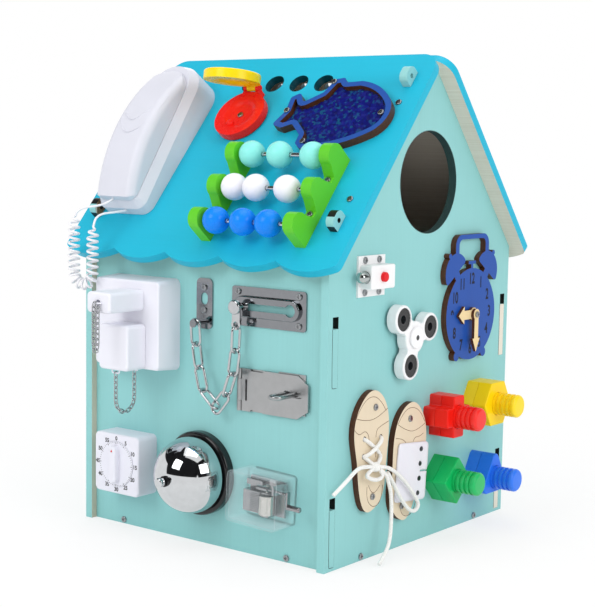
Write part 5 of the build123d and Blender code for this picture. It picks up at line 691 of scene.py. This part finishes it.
print_ink = two_tone("black_pad_print", "#101012", "#2E2E32", 0.8, 0.5)
ring_sizes = {"Radius": "Float", "Length": "Float", "Width": "Float", "Marks": "Int"}
ring_tree, given = seeded("ring_of_marks", ring_sizes)
circle = {"Vertices": given.outputs["Marks"], "Radius": given.outputs["Radius"]}
ring = add(ring_tree, "GeometryNodeMeshCircle", circle)
width, length = given.outputs["Width"], given.outputs["Length"]
oblong = {"Size X": width, "Size Y": length, "Vertices X": 2, "Vertices Y": 2}
mark = add(ring_tree, "GeometryNodeMeshGrid", oblong)
spoke = add(ring_tree, "GeometryNodeInputPosition").outputs[0]
spoke = add(ring_tree, "FunctionNodeAlignRotationToVector", {"Vector": spoke}, axis="Y", pivot_axis="Z")
set_out(ring_tree, ring.outputs[0], mark.outputs[0], spoke.outputs[0], print_ink)

case_place = on_front(TIMER_X, TIMER_Z, CASE_OUT + PRINT_RISE)
figures = []
for count, text in enumerate(TIMER_FIGURES):
    turn = math.pi / 2 - count * math.pi / 6
    spot = FIGURE_RING * Vector((math.cos(turn), math.sin(turn), 0)) * MM
    figures.append((text, case_place @ Matrix.Translation(spot)))
figures_mesh = printed_figures("timer_figures", figures, FIGURE_HEIGHT, FIGURE_BOLD)
make_piece("timer_figures", figures_mesh, print_ink, "house")
dial_place = on_front(TIMER_X, TIMER_Z, DIAL_OUT + PRINT_RISE)
for name, (count, length, width) in TIMER_MARKS.items():
    radius = MARK_RING - length / 2
    sizes = {"Radius": radius * MM, "Length": length * MM, "Width": width * MM, "Marks": count}
    mesh = grown(ring_tree, sizes, bpy.data.meshes.new(name))
    mesh.transform(dial_place)
    make_piece(name, mesh, print_ink, "timer_dial")

red_mark = bpy.data.meshes.new("timer_pointer")
grip_place = on_front(TIMER_X, TIMER_Z, DIAL_OUT + GRIP_RISE + PRINT_RISE)
corners = [(-POINTER_HALF, POINTER_FOOT, 0), (POINTER_HALF, POINTER_FOOT, 0), (0, POINTER_TIP, 0)]
red_mark.from_pydata([grip_place @ (Vector(corner) * MM) for corner in corners], [], [(0, 1, 2)])
make_piece("timer_pointer", red_mark, moulded_plastic("timer_red_print", "#D8262B", 0.45), "timer_dial")


# Counter bell: a turned foot with a post, the spun dome held by a nut, and the plunger on top.
# The foot is black enamelled steel, the dome and plunger mirror chrome.

dress(gloss_enamel("bell_black_enamel", "#17181A", 0.22, 0.5), "bell_base")
dress(plated_steel("mirror_chrome_dome", "#D2D4D6", 0.04, smudge=0.03), "bell_dome", "bell_plunger")


# Music box: a clear moulded cover over a small movement, with the crank at its right side.
# The cover is polystyrene; bed, comb and crank are nickel-plated, and the drum bristles with pins.

MUSIC_X = 82.0
MUSIC_Z = 57.8
MUSIC_TURN = -2.5
DRUM_SHIFT = 6
DRUM_OUT = 14
DRUM_RADIUS = 7.0
PIN_RADIUS = 0.16
PIN_HEIGHT = 0.5
PIN_ROWS = 11
PIN_ROW_STEP = 1.52
PIN_FIRST_ROW = -12.6
PINS_ROUND = 9
PIN_STEP = 40
PIN_STAGGER = 67
COVER_EDGE = 0.9

clear_cover, tree, shader = new_finish("clear_polystyrene")
place = add(tree, "ShaderNodeTexCoord").outputs["Object"]
haze = add(tree, "ShaderNodeTexNoise", {"Vector": place, "Scale": 1 / (7 * MM), "Detail": 2}).outputs["Fac"]
rough = add(tree, "ShaderNodeMapRange", {0: haze, 3: 0.02, 4: 0.06})
# the cover turns whiter and less clear towards grazing angles: a painted sheen
edge = add(tree, "ShaderNodeLayerWeight", {"Blend": 0.2}).outputs["Facing"]
cover = add(tree, "ShaderNodeMapRange", {0: edge, 3: 0.0, 4: 0.46})
# painted edge highlights: light gathers in the moulded edges, so they are made whiter and less clear where
# the rounded normal leaves the flat one
rounded = add(tree, "ShaderNodeBevel", {"Radius": COVER_EDGE * MM}, samples=6).outputs[0]
flat = add(tree, "ShaderNodeNewGeometry").outputs["Normal"]
along = add(tree, "ShaderNodeVectorMath", {0: rounded, 1: flat}, operation="DOT_PRODUCT").outputs["Value"]
rim = add(tree, "ShaderNodeMapRange", {0: along, 1: 0.995, 2: 0.8, 3: 0.0, 4: 0.42}).outputs[0]
whole = add(tree, "ShaderNodeMath", {0: cover.outputs[0], 1: rim}, operation="MAXIMUM")
fill(tree, shader, {"Base Color": linear("#EAF5FA"), "Roughness": rough.outputs[0]})
fill(tree, shader, {"Alpha": whole.outputs[0]})
dress(clear_cover, "music_case")
nickel = plated_steel("nickel_movement", "#A4A4A6", 0.2)
dress(nickel, "music_movement", "music_crank")
dress(plated_steel("steel_drum", "#CFCDC8", 0.22), "music_cylinder")

pin_tree, given = seeded("drum_pins", {"Pin": "Float", "Height": "Float"})
stub = {"Vertices": 6, "Radius": given.outputs["Pin"], "Depth": given.outputs["Height"]}
pin = add(pin_tree, "GeometryNodeMeshCylinder", stub)
outward = add(pin_tree, "GeometryNodeInputPosition").outputs[0]
outward = add(pin_tree, "ShaderNodeVectorMath", {0: outward, 1: (1, 0, 1)}, operation="MULTIPLY").outputs[0]
outward = add(pin_tree, "FunctionNodeAlignRotationToVector", {"Vector": outward}, axis="Z").outputs[0]
points = add(pin_tree, "GeometryNodeMeshToPoints", {0: given.outputs["Geometry"]})
set_out(pin_tree, points.outputs[0], pin.outputs[0], outward, nickel)
music_place = on_front(MUSIC_X, MUSIC_Z) @ Matrix.Rotation(math.radians(MUSIC_TURN), 4, "Z")
pin_spots = []
for count in range(PIN_ROWS):
    along = (PIN_FIRST_ROW + count * PIN_ROW_STEP) * MM
    for step in range(PINS_ROUND):
        turn = (step * PIN_STEP + (count * PIN_STAGGER) % PIN_STEP) * math.pi / 180
        # the tune leaves out about one pin in four
        if (count * 5 + step * 3) % 4:
            pin_spots.append((DRUM_RADIUS * MM * math.cos(turn), along, DRUM_RADIUS * MM * math.sin(turn)))
start = bpy.data.meshes.new("pin_spots")
start.from_pydata(pin_spots, [], [])
pin_mesh = grown(pin_tree, {"Pin": PIN_RADIUS * MM, "Height": PIN_HEIGHT * MM}, start)
pin_mesh.transform(music_place @ Matrix.Translation(Vector((DRUM_SHIFT, 0, DRUM_OUT)) * MM))
make_piece("drum_pins", pin_mesh, nickel, "music_cylinder")


# Push-button latch: a white moulded body on a plate, with a red button that draws the bolt.
# Body and button are ABS with a soft shine, and the bolt is bright plated steel.

dress(moulded_plastic("latch_white_abs", "#F0F0F1", 0.34), "latch_body")
dress(moulded_plastic("latch_red_button", "#E0141E", 0.3), "latch_button")
dress(plated_steel("latch_bolt_steel", "#BCC2C1", 0.16), "latch_bolt")


# Spinner: a three-armed body that turns on an axle, with a weight ring pressed into each arm.
# The body is glossy white ABS and the rings are black, with a dull dark race inside.

SPINNER_ARM = 26
SPINNER_TURN = 47
WEIGHT_RING = 10.55
WEIGHT_RACE = 4.9

spinner_white, tree, shader = new_finish("spinner_white_and_black")
place = add(tree, "ShaderNodeTexCoord").outputs["Object"]
skin = add(tree, "ShaderNodeTexNoise", {"Vector": place, "Scale": 1 / (0.6 * MM), "Detail": 2}).outputs["Fac"]
body = add(tree, "ShaderNodeMix", {0: skin, 6: linear("#F6F6F7"), 7: linear("#E9E9EB")}, data_type="RGBA")
for arm in range(3):
    turn = math.radians(SPINNER_TURN + 120 * arm)
    rear, rise = -SPINNER_ARM * math.sin(turn), SPINNER_ARM * math.cos(turn)
    centre = Vector((0, SPINNER_Y + rear, SPINNER_Z + rise)) * MM
    level = add(tree, "ShaderNodeVectorMath", {0: place, 1: (0, 1, 1)}, operation="MULTIPLY").outputs[0]
    reach = add(tree, "ShaderNodeVectorMath", {0: level, 1: centre}, operation="DISTANCE").outputs["Value"]
    ring = add(tree, "ShaderNodeMath", {0: reach, 1: WEIGHT_RING * MM}, operation="LESS_THAN").outputs[0]
    body = add(tree, "ShaderNodeMix", {0: ring, 6: body.outputs[2], 7: linear("#141416")}, data_type="RGBA")
    race = add(tree, "ShaderNodeMath", {0: reach, 1: WEIGHT_RACE * MM}, operation="LESS_THAN").outputs[0]
    body = add(tree, "ShaderNodeMix", {0: race, 6: body.outputs[2], 7: linear("#2C2C30")}, data_type="RGBA")
fill(tree, shader, {"Base Color": body.outputs[2], "Roughness": 0.24})
dress(spinner_white, "spinner_body")


# Clock: a plywood alarm clock with twelve figures and two birch hands on one screw.
# Painted dark blue, with the twelve figures cut through by the laser and drawn as dark marks: painted shade
# in the cuts over the laser's char; the hands are bare birch.

CLOCK_Y = 70.5
CLOCK_Z = 207.5
FITTING_PLY = 6.0
CLOCK_GRAIN = (1.4, 1.4, 50)
HAND_GRAIN = (1.0, 1.0, 30)
HOUR_RING = 33.6
HOUR_HEIGHT = 14.5
HOUR_BOLD = 0.45
HOUR_NARROW = 0.72


def on_gable(y, z, out=0):
    """Place on the right gable, in metres: to the rear, up and out of the gable."""
    place = Matrix(((0, 1, 0), (0, 0, 1), (1, 0, 0))).transposed().to_4x4()
    place.translation = Vector((GABLE_X + out, y, z)) * MM
    return place


clock_ply = painted_ply("clock_blue_ply", "#144CA4", (1, 0, 0), CLOCK_GRAIN, edge="burnt", bare_back=False,
                        gloss=0.4)
dress(clock_ply, "clock_face")
hand_ply = painted_ply("birch_hand_ply", "#EBD3A2", (1, 0, 0), HAND_GRAIN, edge="burnt", bare_back=False,
                       gloss=0.55)
dress(hand_ply, "clock_hour_hand", "clock_minute_hand")
# the figures are painted shade of the laser's cuts, partly their char; the same dark draws the joints round
# the gable's tabs
figure_shade_and_joints = two_tone("cut_figure_shade_and_joint_lines", "#080F24", "#121A30", 0.7, 0.7)
clock_place = on_gable(CLOCK_Y, CLOCK_Z, FITTING_PLY + PRINT_RISE)
narrow = Matrix.Diagonal((HOUR_NARROW, 1, 1, 1))
figures = []
for hour in range(1, 13):
    turn = math.pi / 2 - hour * math.pi / 6
    spot = HOUR_RING * Vector((math.cos(turn), math.sin(turn), 0)) * MM
    figures.append((str(hour), clock_place @ Matrix.Translation(spot) @ narrow))
hours_mesh = printed_figures("clock_figures", figures, HOUR_HEIGHT, HOUR_BOLD)
make_piece("clock_figures", hours_mesh, figure_shade_and_joints, "house")


# Shoes: two cut soles screwed to the gable, one for lacing and one with a flap on snaps.
# Bare birch plywood, its edges and the drawn lines browned by the laser.

SOLE_GRAIN = (1.2, 1.2, 60)
LINE_WIDTH = 0.5
LINE_SINK = 0.05
SHOE_LINES = (
    ((-114.5, 131.5), (-107.0, 142.5), (-92.0, 149.0), (-78.0, 143.5), (-69.5, 132.5)),
    ((-114.5, 131.0), (-99.0, 126.5), (-80.5, 128.0), (-67.0, 134.5)),
    ((-117.0, 121.5), (-111.0, 115.0), (-101.5, 119.0), (-95.5, 114.5), (-94.5, 107.5)),
    ((-65.0, 122.5), (-76.0, 120.0), (-84.5, 117.0), (-84.5, 110.5)),
    ((-85.5, 100.5), (-84.5, 92.5)),
    ((-96.5, 68.0), (-98.0, 57.0), (-86.5, 46.5), (-73.5, 51.5), (-72.5, 65.5)),
    ((-94.5, 69.0), (-91.0, 62.0), (-83.0, 60.0), (-77.0, 66.0)),
    ((-50.0, 117.0), (-43.0, 126.0), (-29.0, 131.0), (-12.5, 124.5), (-6.0, 113.5)),
    ((-49.5, 116.5), (-33.0, 107.5), (-16.5, 107.5), (-5.5, 112.0)),
    ((-53.0, 104.5), (-41.0, 103.0), (-36.5, 98.0)),
    ((-8.0, 103.0), (-13.0, 100.5), (-22.5, 101.5), (-24.5, 97.5)),
    ((-44.0, 43.5), (-43.0, 33.0), (-30.5, 28.0), (-20.0, 33.5), (-18.0, 42.0)),
)
SEAM_LINES = (
    ((-143.6, 211.0), (-143.6, 161.5), (-142.0, 160.0), (-137.0, 160.0)),
    ((-143.6, 54.0), (-143.6, 4.5), (-142.0, 3.0), (-137.0, 3.0)),
    ((135.4, 211.0), (135.4, 160.5)),
    ((135.4, 54.0), (135.4, 3.5)),
)


def drawn_lines(name, lines, out, finish):
    """Fine lines on the right gable's side, each through points given as steps to the rear and up."""
    routes = [[(GABLE_X + out - LINE_SINK, y, z) for y, z in line] for line in lines]
    make_piece(name, threads(name, routes, LINE_WIDTH), finish, "house")


sole_ply = painted_ply("birch_sole_ply", "#E2D2B8", (1, 0, 0), SOLE_GRAIN, edge="burnt", bare_back=False,
                       gloss=0.55)
dress(sole_ply, "shoe_soles")
line_burn = two_tone("laser_drawn_lines", "#8A6A4C", "#5C3D28", 3, 0.8, detail=2)
drawn_lines("shoe_lines", SHOE_LINES, FITTING_PLY, line_burn)
drawn_lines("tab_seams", SEAM_LINES, 0, figure_shade_and_joints)


# Shoe lace: one round cotton lace, crossed through four holes and tied in a loose bow.
# Braided white cotton, limp, so the bow hangs and its ends fall as they like.

LACE = 3.6
LACE_STACK = 2.6
LACE_GAP = 0.3
LACE_SUNK = 4
LACING_SHOE = (-94.6, 45.2)
LACING_TURN = -3.8
HOLE_LEFT = -11.7
HOLE_RIGHT = 13.3
HOLE_ROWS = (65.5, 50.1)
KNOT_SPOT = (0.8, 40.6)
KNOT_RADIUS = 4.6
lace_place = on_gable(*LACING_SHOE) @ Matrix.Rotation(math.radians(LACING_TURN), 4, "Z")


def lace_spot(across, along, out):
    """Point in millimetres, given across and along the lacing shoe and out of the gable."""
    return (lace_place @ (Vector((across, along, out)) * MM)) / MM


# the braid's stitches are drawn wide enough to show
lace_cotton = stitched("white_cotton_braid", "#FAFAF8", "#DDDCD8", STITCH, 0.5, 0.25, 0.85, sheen=0.2)

flat = FITTING_PLY + LACE / 2 + LACE_GAP
high = flat + LACE_STACK
knot = lace_spot(*KNOT_SPOT, high)
strands = []
for near, level, far in ((HOLE_LEFT, flat, HOLE_RIGHT), (HOLE_RIGHT, high, HOLE_LEFT)):
    upper, lower = (near, HOLE_ROWS[0]), (far, HOLE_ROWS[1])
    places = ((*upper, LACE_SUNK), (*upper, level), (*lower, level), (*lower, LACE_SUNK))
    strands.append([lace_spot(*place) for place in places])
for hole, level in ((HOLE_LEFT, flat), (HOLE_RIGHT, high)):
    places = ((hole, HOLE_ROWS[1], LACE_SUNK), (hole, HOLE_ROWS[1], level))
    strands.append([lace_spot(*place) for place in places] + [knot])
shape = bmesh.new()
shape.from_mesh(threads("lace_strands", strands, LACE))
knot_place = Matrix.Translation(knot * MM)
bmesh.ops.create_uvsphere(shape, u_segments=16, v_segments=10, radius=KNOT_RADIUS * MM, matrix=knot_place)
lacing = closed("lacing", shape)
smooth(lacing)
make_piece("lacing", lacing, lace_cotton, "house", ["shoe_lace"])
# each end leaves the knot through places given as steps to the rear, up and out of the gable
lace_ends = {
    "lace_end_front": ((-112.0, 90.0, 13.0), (-121.5, 88.0, 11.5), (-133.0, 78.5, 9.0), (-146.2, 69.4, 6.0)),
    "lace_small_loop": (
        (-112.0, 82.5, 14.0), (-101.0, 76.5, 13.5), (-89.0, 74.0, 13.5), (-82.0, 77.5, 13.5),
        (-88.0, 83.5, 13.0),
    ),
    "lace_end_low": (
        (-79.0, 79.0, 13.5), (-74.6, 69.2, 14.0), (-71.3, 57.4, 15.0), (-74.9, 35.6, 18.0),
        (-81.3, 17.2, 21.0), (-92.1, 8.6, 23.0), (-102.3, 2.5, 24.5),
    ),
    "lace_loop": (
        (-78.6, 84.6, 13.5), (-62.1, 76.4, 13.0), (-45.3, 64.4, 12.5), (-29.3, 49.1, 12.0),
        (-21.3, 39.3, 12.0), (-27.2, 33.6, 12.0), (-37.6, 36.4, 12.0), (-53.4, 50.9, 12.5),
        (-66.1, 67.2, 13.0), (-76.0, 78.5, 13.5),
    ),
}
for name, places in lace_ends.items():
    route = [tuple(knot)] + [(GABLE_X + out, y, z) for y, z, out in places]
    line = smooth_line(name, route, LACE / 2)
    line.data.materials.append(lace_cotton)
    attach(line, "house")
    points = line_points(route)


# Snap flap: a pale felt flap over the second shoe, slit into its rear edge and held by four press snaps.
# The felt lies loose on the sole with its rear edge lifting a little; the snaps are gunmetal.

FLAP_LEFT, FLAP_RIGHT, FLAP_FOOT, FLAP_TOP = -19.1, 28.9, 16.7, 70.7
FLAP_CORNER = 4.0
FLAP_OUT = 6.9
FLAP_COLUMNS = 24
FLAP_ROWS = 13
SLIT_HALF = 0.7
SLIT_LENGTH = 10
FELT = 1.2
FELT_REST = 0.2
FELT_WAVE = 0.18
# radians per millimetre
WAVE_ACROSS = 0.33
WAVE_ALONG = 0.21
EDGE_LIFT = 1.1
EDGE_START = 20
EDGE_RUN = 9
SNAPS = 4
SNAP_SETBACK = 11
SNAP_INSET = 6.5
SNAP_STEP = 13.67
SNAP_TAPER = 0.85
# radius, height and rise of a snap's cap and of its pip
SNAP_DISCS = ((2.5, 0.9, 0.8), (1.5, 0.6, 1.3))
SNAP_SHOE = (-37.6, 27.1)
SNAP_SHOE_TURN = -5.6

felt, tree, shader = new_finish("pale_felt")
place = add(tree, "ShaderNodeTexCoord").outputs["Object"]
nap = add(tree, "ShaderNodeTexNoise", {"Vector": place, "Scale": 1 / (0.8 * MM), "Detail": 4}).outputs["Fac"]
wool = add(tree, "ShaderNodeMix", {0: nap, 6: linear("#F0EFF6"), 7: linear("#DEDDE8")}, data_type="RGBA")
bump = add(tree, "ShaderNodeBump", {"Strength": 0.4, "Distance": 0.2 * MM, "Height": nap})
fill(tree, shader, {"Base Color": wool.outputs[2], "Normal": bump.outputs[0]})
fill(tree, shader, {"Roughness": 0.9, "Sheen Weight": 0.3})
flap_place = on_gable(*SNAP_SHOE) @ Matrix.Rotation(math.radians(SNAP_SHOE_TURN), 4, "Z")
middle = (FLAP_FOOT + FLAP_TOP) / 2
across = [FLAP_LEFT + (FLAP_RIGHT - FLAP_LEFT) * step / FLAP_COLUMNS for step in range(FLAP_COLUMNS + 1)]
lower = [FLAP_FOOT + (middle - SLIT_HALF - FLAP_FOOT) * step / FLAP_ROWS for step in range(FLAP_ROWS + 1)]
along = lower + [2 * middle - v for v in reversed(lower)]


def flap_point(u, v):
    """Point of the flap in metres, its corners rounded and its rear edge lifting off the sole."""
    half_u = (FLAP_RIGHT - FLAP_LEFT) / 2 - FLAP_CORNER
    half_v = (FLAP_TOP - FLAP_FOOT) / 2 - FLAP_CORNER
    du, dv = u - (FLAP_LEFT + FLAP_RIGHT) / 2, v - middle
    over = Vector((max(0, abs(du) - half_u), max(0, abs(dv) - half_v)))
    if over.length > FLAP_CORNER:
        trim = over * (1 - FLAP_CORNER / over.length)
        u -= math.copysign(trim.x, du)
        v -= math.copysign(trim.y, dv)
    wave = FELT_WAVE * math.sin(WAVE_ACROSS * u + WAVE_ALONG * v)
    lift = FELT_REST + wave + EDGE_LIFT * max(0, (u - EDGE_START) / EDGE_RUN) ** 2
    return flap_place @ (Vector((u, v, FLAP_OUT + lift)) * MM)


flap_mesh = bpy.data.meshes.new("felt_flap")
quads = []
for row in range(len(along) - 1):
    for column in range(len(across) - 1):
        if row != FLAP_ROWS or across[column] < FLAP_RIGHT - SLIT_LENGTH:
            corner = row * len(across) + column
            quads.append((corner, corner + 1, corner + len(across) + 1, corner + len(across)))
flap_mesh.from_pydata([flap_point(u, v) for v in along for u in across], [], quads)
smooth(flap_mesh)
flap = make_piece("felt_flap", flap_mesh, felt, "house", ["snap_flap"])
body = flap.modifiers.new("felt", "SOLIDIFY")
body.thickness = FELT * MM
body.offset = 0
studs = bmesh.new()
turn = flap_place.to_3x3().to_4x4()
for count in range(SNAPS):
    spot = flap_point(FLAP_RIGHT - SNAP_SETBACK, FLAP_FOOT + SNAP_INSET + count * SNAP_STEP)
    for radius, height, rise in SNAP_DISCS:
        seat = Matrix.Translation(spot) @ turn @ Matrix.Translation((0, 0, rise * MM))
        bmesh.ops.create_cone(studs, cap_ends=True, segments=20, radius1=radius * MM,
                              radius2=SNAP_TAPER * radius * MM, depth=height * MM, matrix=seat)
stud_mesh = closed("press_snaps", studs)
snaps = make_piece("press_snaps", stud_mesh, plated_steel("gunmetal_snaps", "#55565B", 0.3), "house")


# Toy bolts and nuts: four coarse bolts screwed to the gable from inside, each with a nut of its own shape.
# Tough moulded plastic in red, yellow, green and blue, with a soft shine.

BOLTS_MIDDLE_Y = 56
BOLTS_MIDDLE_Z = 86
NUT_COLOURS = {"cross": "#F01E12", "hexagon": "#FFD90A", "square": "#0FB861", "triangle": "#2476F0"}
for kind, colour in NUT_COLOURS.items():
    dress(moulded_plastic(kind + "_nut_plastic", colour, 0.32, 0.8), "toy_nut_" + kind)
four_colours, tree, shader = new_finish("toy_bolt_plastic")
place = add(tree, "ShaderNodeTexCoord").outputs["Object"]
parts = add(tree, "ShaderNodeSeparateXYZ", {0: place})
# each bolt has its nut's colour: two rows of two, told apart by their place on the gable
behind = {0: parts.outputs[1], 1: BOLTS_MIDDLE_Y * MM}
rear = add(tree, "ShaderNodeMath", behind, operation="GREATER_THAN").outputs[0]
above = {0: parts.outputs[2], 1: BOLTS_MIDDLE_Z * MM}
upper = add(tree, "ShaderNodeMath", above, operation="GREATER_THAN").outputs[0]
red, yellow, green, blue = [linear(colour) for colour in NUT_COLOURS.values()]
low = add(tree, "ShaderNodeMix", {0: rear, 6: green, 7: blue}, data_type="RGBA")
top = add(tree, "ShaderNodeMix", {0: rear, 6: red, 7: yellow}, data_type="RGBA")
body = add(tree, "ShaderNodeMix", {0: upper, 6: low.outputs[2], 7: top.outputs[2]}, data_type="RGBA")
skin = add(tree, "ShaderNodeTexNoise", {"Vector": place, "Scale": 1 / (0.8 * MM), "Detail": 2}).outputs["Fac"]
rough = add(tree, "ShaderNodeMapRange", {0: skin, 3: 0.27, 4: 0.4})
fill(tree, shader, {"Base Color": body.outputs[2], "Roughness": rough.outputs[0]})
dress(four_colours, "toy_bolts")


# Stage: a pale floor that fades into a white surround, soft studio lamps and the photograph's camera.
# Dark cards that only reflections see give the chrome and the clear cover their contrast.

FLOOR_HALF = 12.0
LAMP_AIM = (0, 0, 0.22)
CARD_AIM = (0, 0, 0.2)
CAMERA_TURNS = (37.948, 6.326, -0.932)
CAMERA_PLACE = (0.868758, -1.119398, 0.367550)
FOCAL_PIXELS = 1446.702
PHOTO_HEIGHT = 607
SENSOR = 36


def oblong_corners(width, height):
    """The corners of a flat oblong about the origin."""
    right, top = width / 2, height / 2
    return [(-right, -top, 0), (right, -top, 0), (right, top, 0), (-right, top, 0)]


def seen_rays(tree):
    """One for rays that show a surface, straight, mirrored or through glass, and nought for its light."""
    rays = add(tree, "ShaderNodeLightPath").outputs
    seen = rays["Is Camera Ray"]
    for kind in ("Is Glossy Ray", "Is Transmission Ray"):
        seen = add(tree, "ShaderNodeMath", {0: seen, 1: rays[kind]}, operation="MAXIMUM").outputs[0]
    return seen


floor_mesh = bpy.data.meshes.new("studio_floor")
floor_mesh.from_pydata(oblong_corners(2 * FLOOR_HALF, 2 * FLOOR_HALF), [], [(0, 1, 2, 3)])
studio_floor = put("studio_floor", floor_mesh)
paper, tree, shader = new_finish("white_paper_floor")
place = add(tree, "ShaderNodeTexCoord").outputs["Object"]
fleck = add(tree, "ShaderNodeTexNoise", {"Vector": place, "Scale": 30, "Detail": 2}).outputs["Fac"]
sheet = add(tree, "ShaderNodeMix", {0: fleck, 6: linear("#F8F8F8"), 7: linear("#F4F4F4")}, data_type="RGBA")
fill(tree, shader, {"Base Color": sheet.outputs[2], "Roughness": 0.9, "Specular IOR Level": 0.0})
# the floor turns to plain white between 0.15 m and 0.6 m from the house's middle
reach = add(tree, "ShaderNodeVectorMath", {0: place}, operation="LENGTH").outputs["Value"]
fade = {0: reach, 1: 0.15, 2: 0.6, 3: 0.7, 4: 1.0}
fade = add(tree, "ShaderNodeMapRange", fade, interpolation_type="SMOOTHSTEP").outputs[0]
fade = add(tree, "ShaderNodeMath", {0: fade, 1: seen_rays(tree)}, operation="MULTIPLY").outputs[0]
white = add(tree, "ShaderNodeEmission", {"Color": (1, 1, 1, 1), "Strength": 1.0})
mixed = add(tree, "ShaderNodeMixShader", {0: fade, 1: shader.outputs[0], 2: white.outputs[0]})
fill(tree, tree.nodes["Material Output"], {"Surface": mixed.outputs[0]})
floor_mesh.materials.append(paper)

world = bpy.data.worlds.new("studio_surround")
bpy.context.scene.world = world
world.use_nodes = True
tree = world.node_tree
glow = add(tree, "ShaderNodeMapRange", {0: seen_rays(tree), 3: 0.76, 4: 1.0}).outputs[0]
fill(tree, tree.nodes["Background"], {"Strength": glow, "Color": (1, 1, 1, 1)})

for name, spot, size, power in (
    ("key_softbox", (-0.35, -1.75, 1.25), 0.9, 10.5),
    ("side_softbox", (1.75, -0.35, 0.95), 0.9, 9.5),
    ("top_softbox", (0.1, -0.2, 1.9), 1.2, 6.0),
    ("rear_softbox", (-1.2, 1.5, 1.1), 1.0, 5.0),
):
    lamp = bpy.data.lights.new(name, "AREA")
    lamp.size = size
    lamp.energy = power
    holder = put(name, lamp)
    holder.location = spot
    holder.rotation_euler = (Vector(LAMP_AIM) - Vector(spot)).to_track_quat("-Z", "Y").to_euler()

card_grey, tree, shader = new_finish("dark_studio_card")
cloud = add(tree, "ShaderNodeTexNoise", {"Scale": 3}).outputs["Fac"]
felted = add(tree, "ShaderNodeMix", {0: cloud, 6: linear("#101012"), 7: linear("#1C1C20")}, data_type="RGBA")
fill(tree, shader, {"Base Color": felted.outputs[2], "Roughness": 1.0})
for name, spot, width, height in (
    ("card_front", (0.5, -3.2, 2.2), 9.0, 4.0),
    ("card_gable", (3.6, 0.8, 2.1), 8.0, 3.8),
    ("card_above", (-2.2, -0.9, 3.2), 5.0, 4.0),
):
    card_mesh = bpy.data.meshes.new(name)
    turn = (Vector(CARD_AIM) - Vector(spot)).to_track_quat("Z", "Y").to_matrix().to_4x4()
    turn.translation = spot
    corners = [turn @ Vector(corner) for corner in oblong_corners(width, height)]
    card_mesh.from_pydata(corners, [], [(0, 1, 2, 3)])
    card_mesh.materials.append(card_grey)
    card = put(name, card_mesh)
    card.visible_camera = False
    card.visible_diffuse = False
    card.visible_shadow = False
    card.visible_transmission = False

bpy.context.scene.view_settings.view_transform = "Standard"
azimuth, elevation, roll = [math.radians(angle) for angle in CAMERA_TURNS]
ahead = math.cos(elevation)
forward = Vector((-math.sin(azimuth) * ahead, math.cos(azimuth) * ahead, -math.sin(elevation)))
level = Vector((math.cos(azimuth), math.sin(azimuth), 0))
down = forward.cross(level)
right = math.cos(roll) * level + math.sin(roll) * down
below = -math.sin(roll) * level + math.cos(roll) * down
view = bpy.data.cameras.new("photo_camera")
view.sensor_width = SENSOR
view.lens = FOCAL_PIXELS * SENSOR / PHOTO_HEIGHT
view.clip_end = 100
camera = put("photo_camera", view)
camera.matrix_world = Matrix((right, -below, -forward)).transposed().to_4x4()
camera.location = CAMERA_PLACE
bpy.context.scene.camera = camera
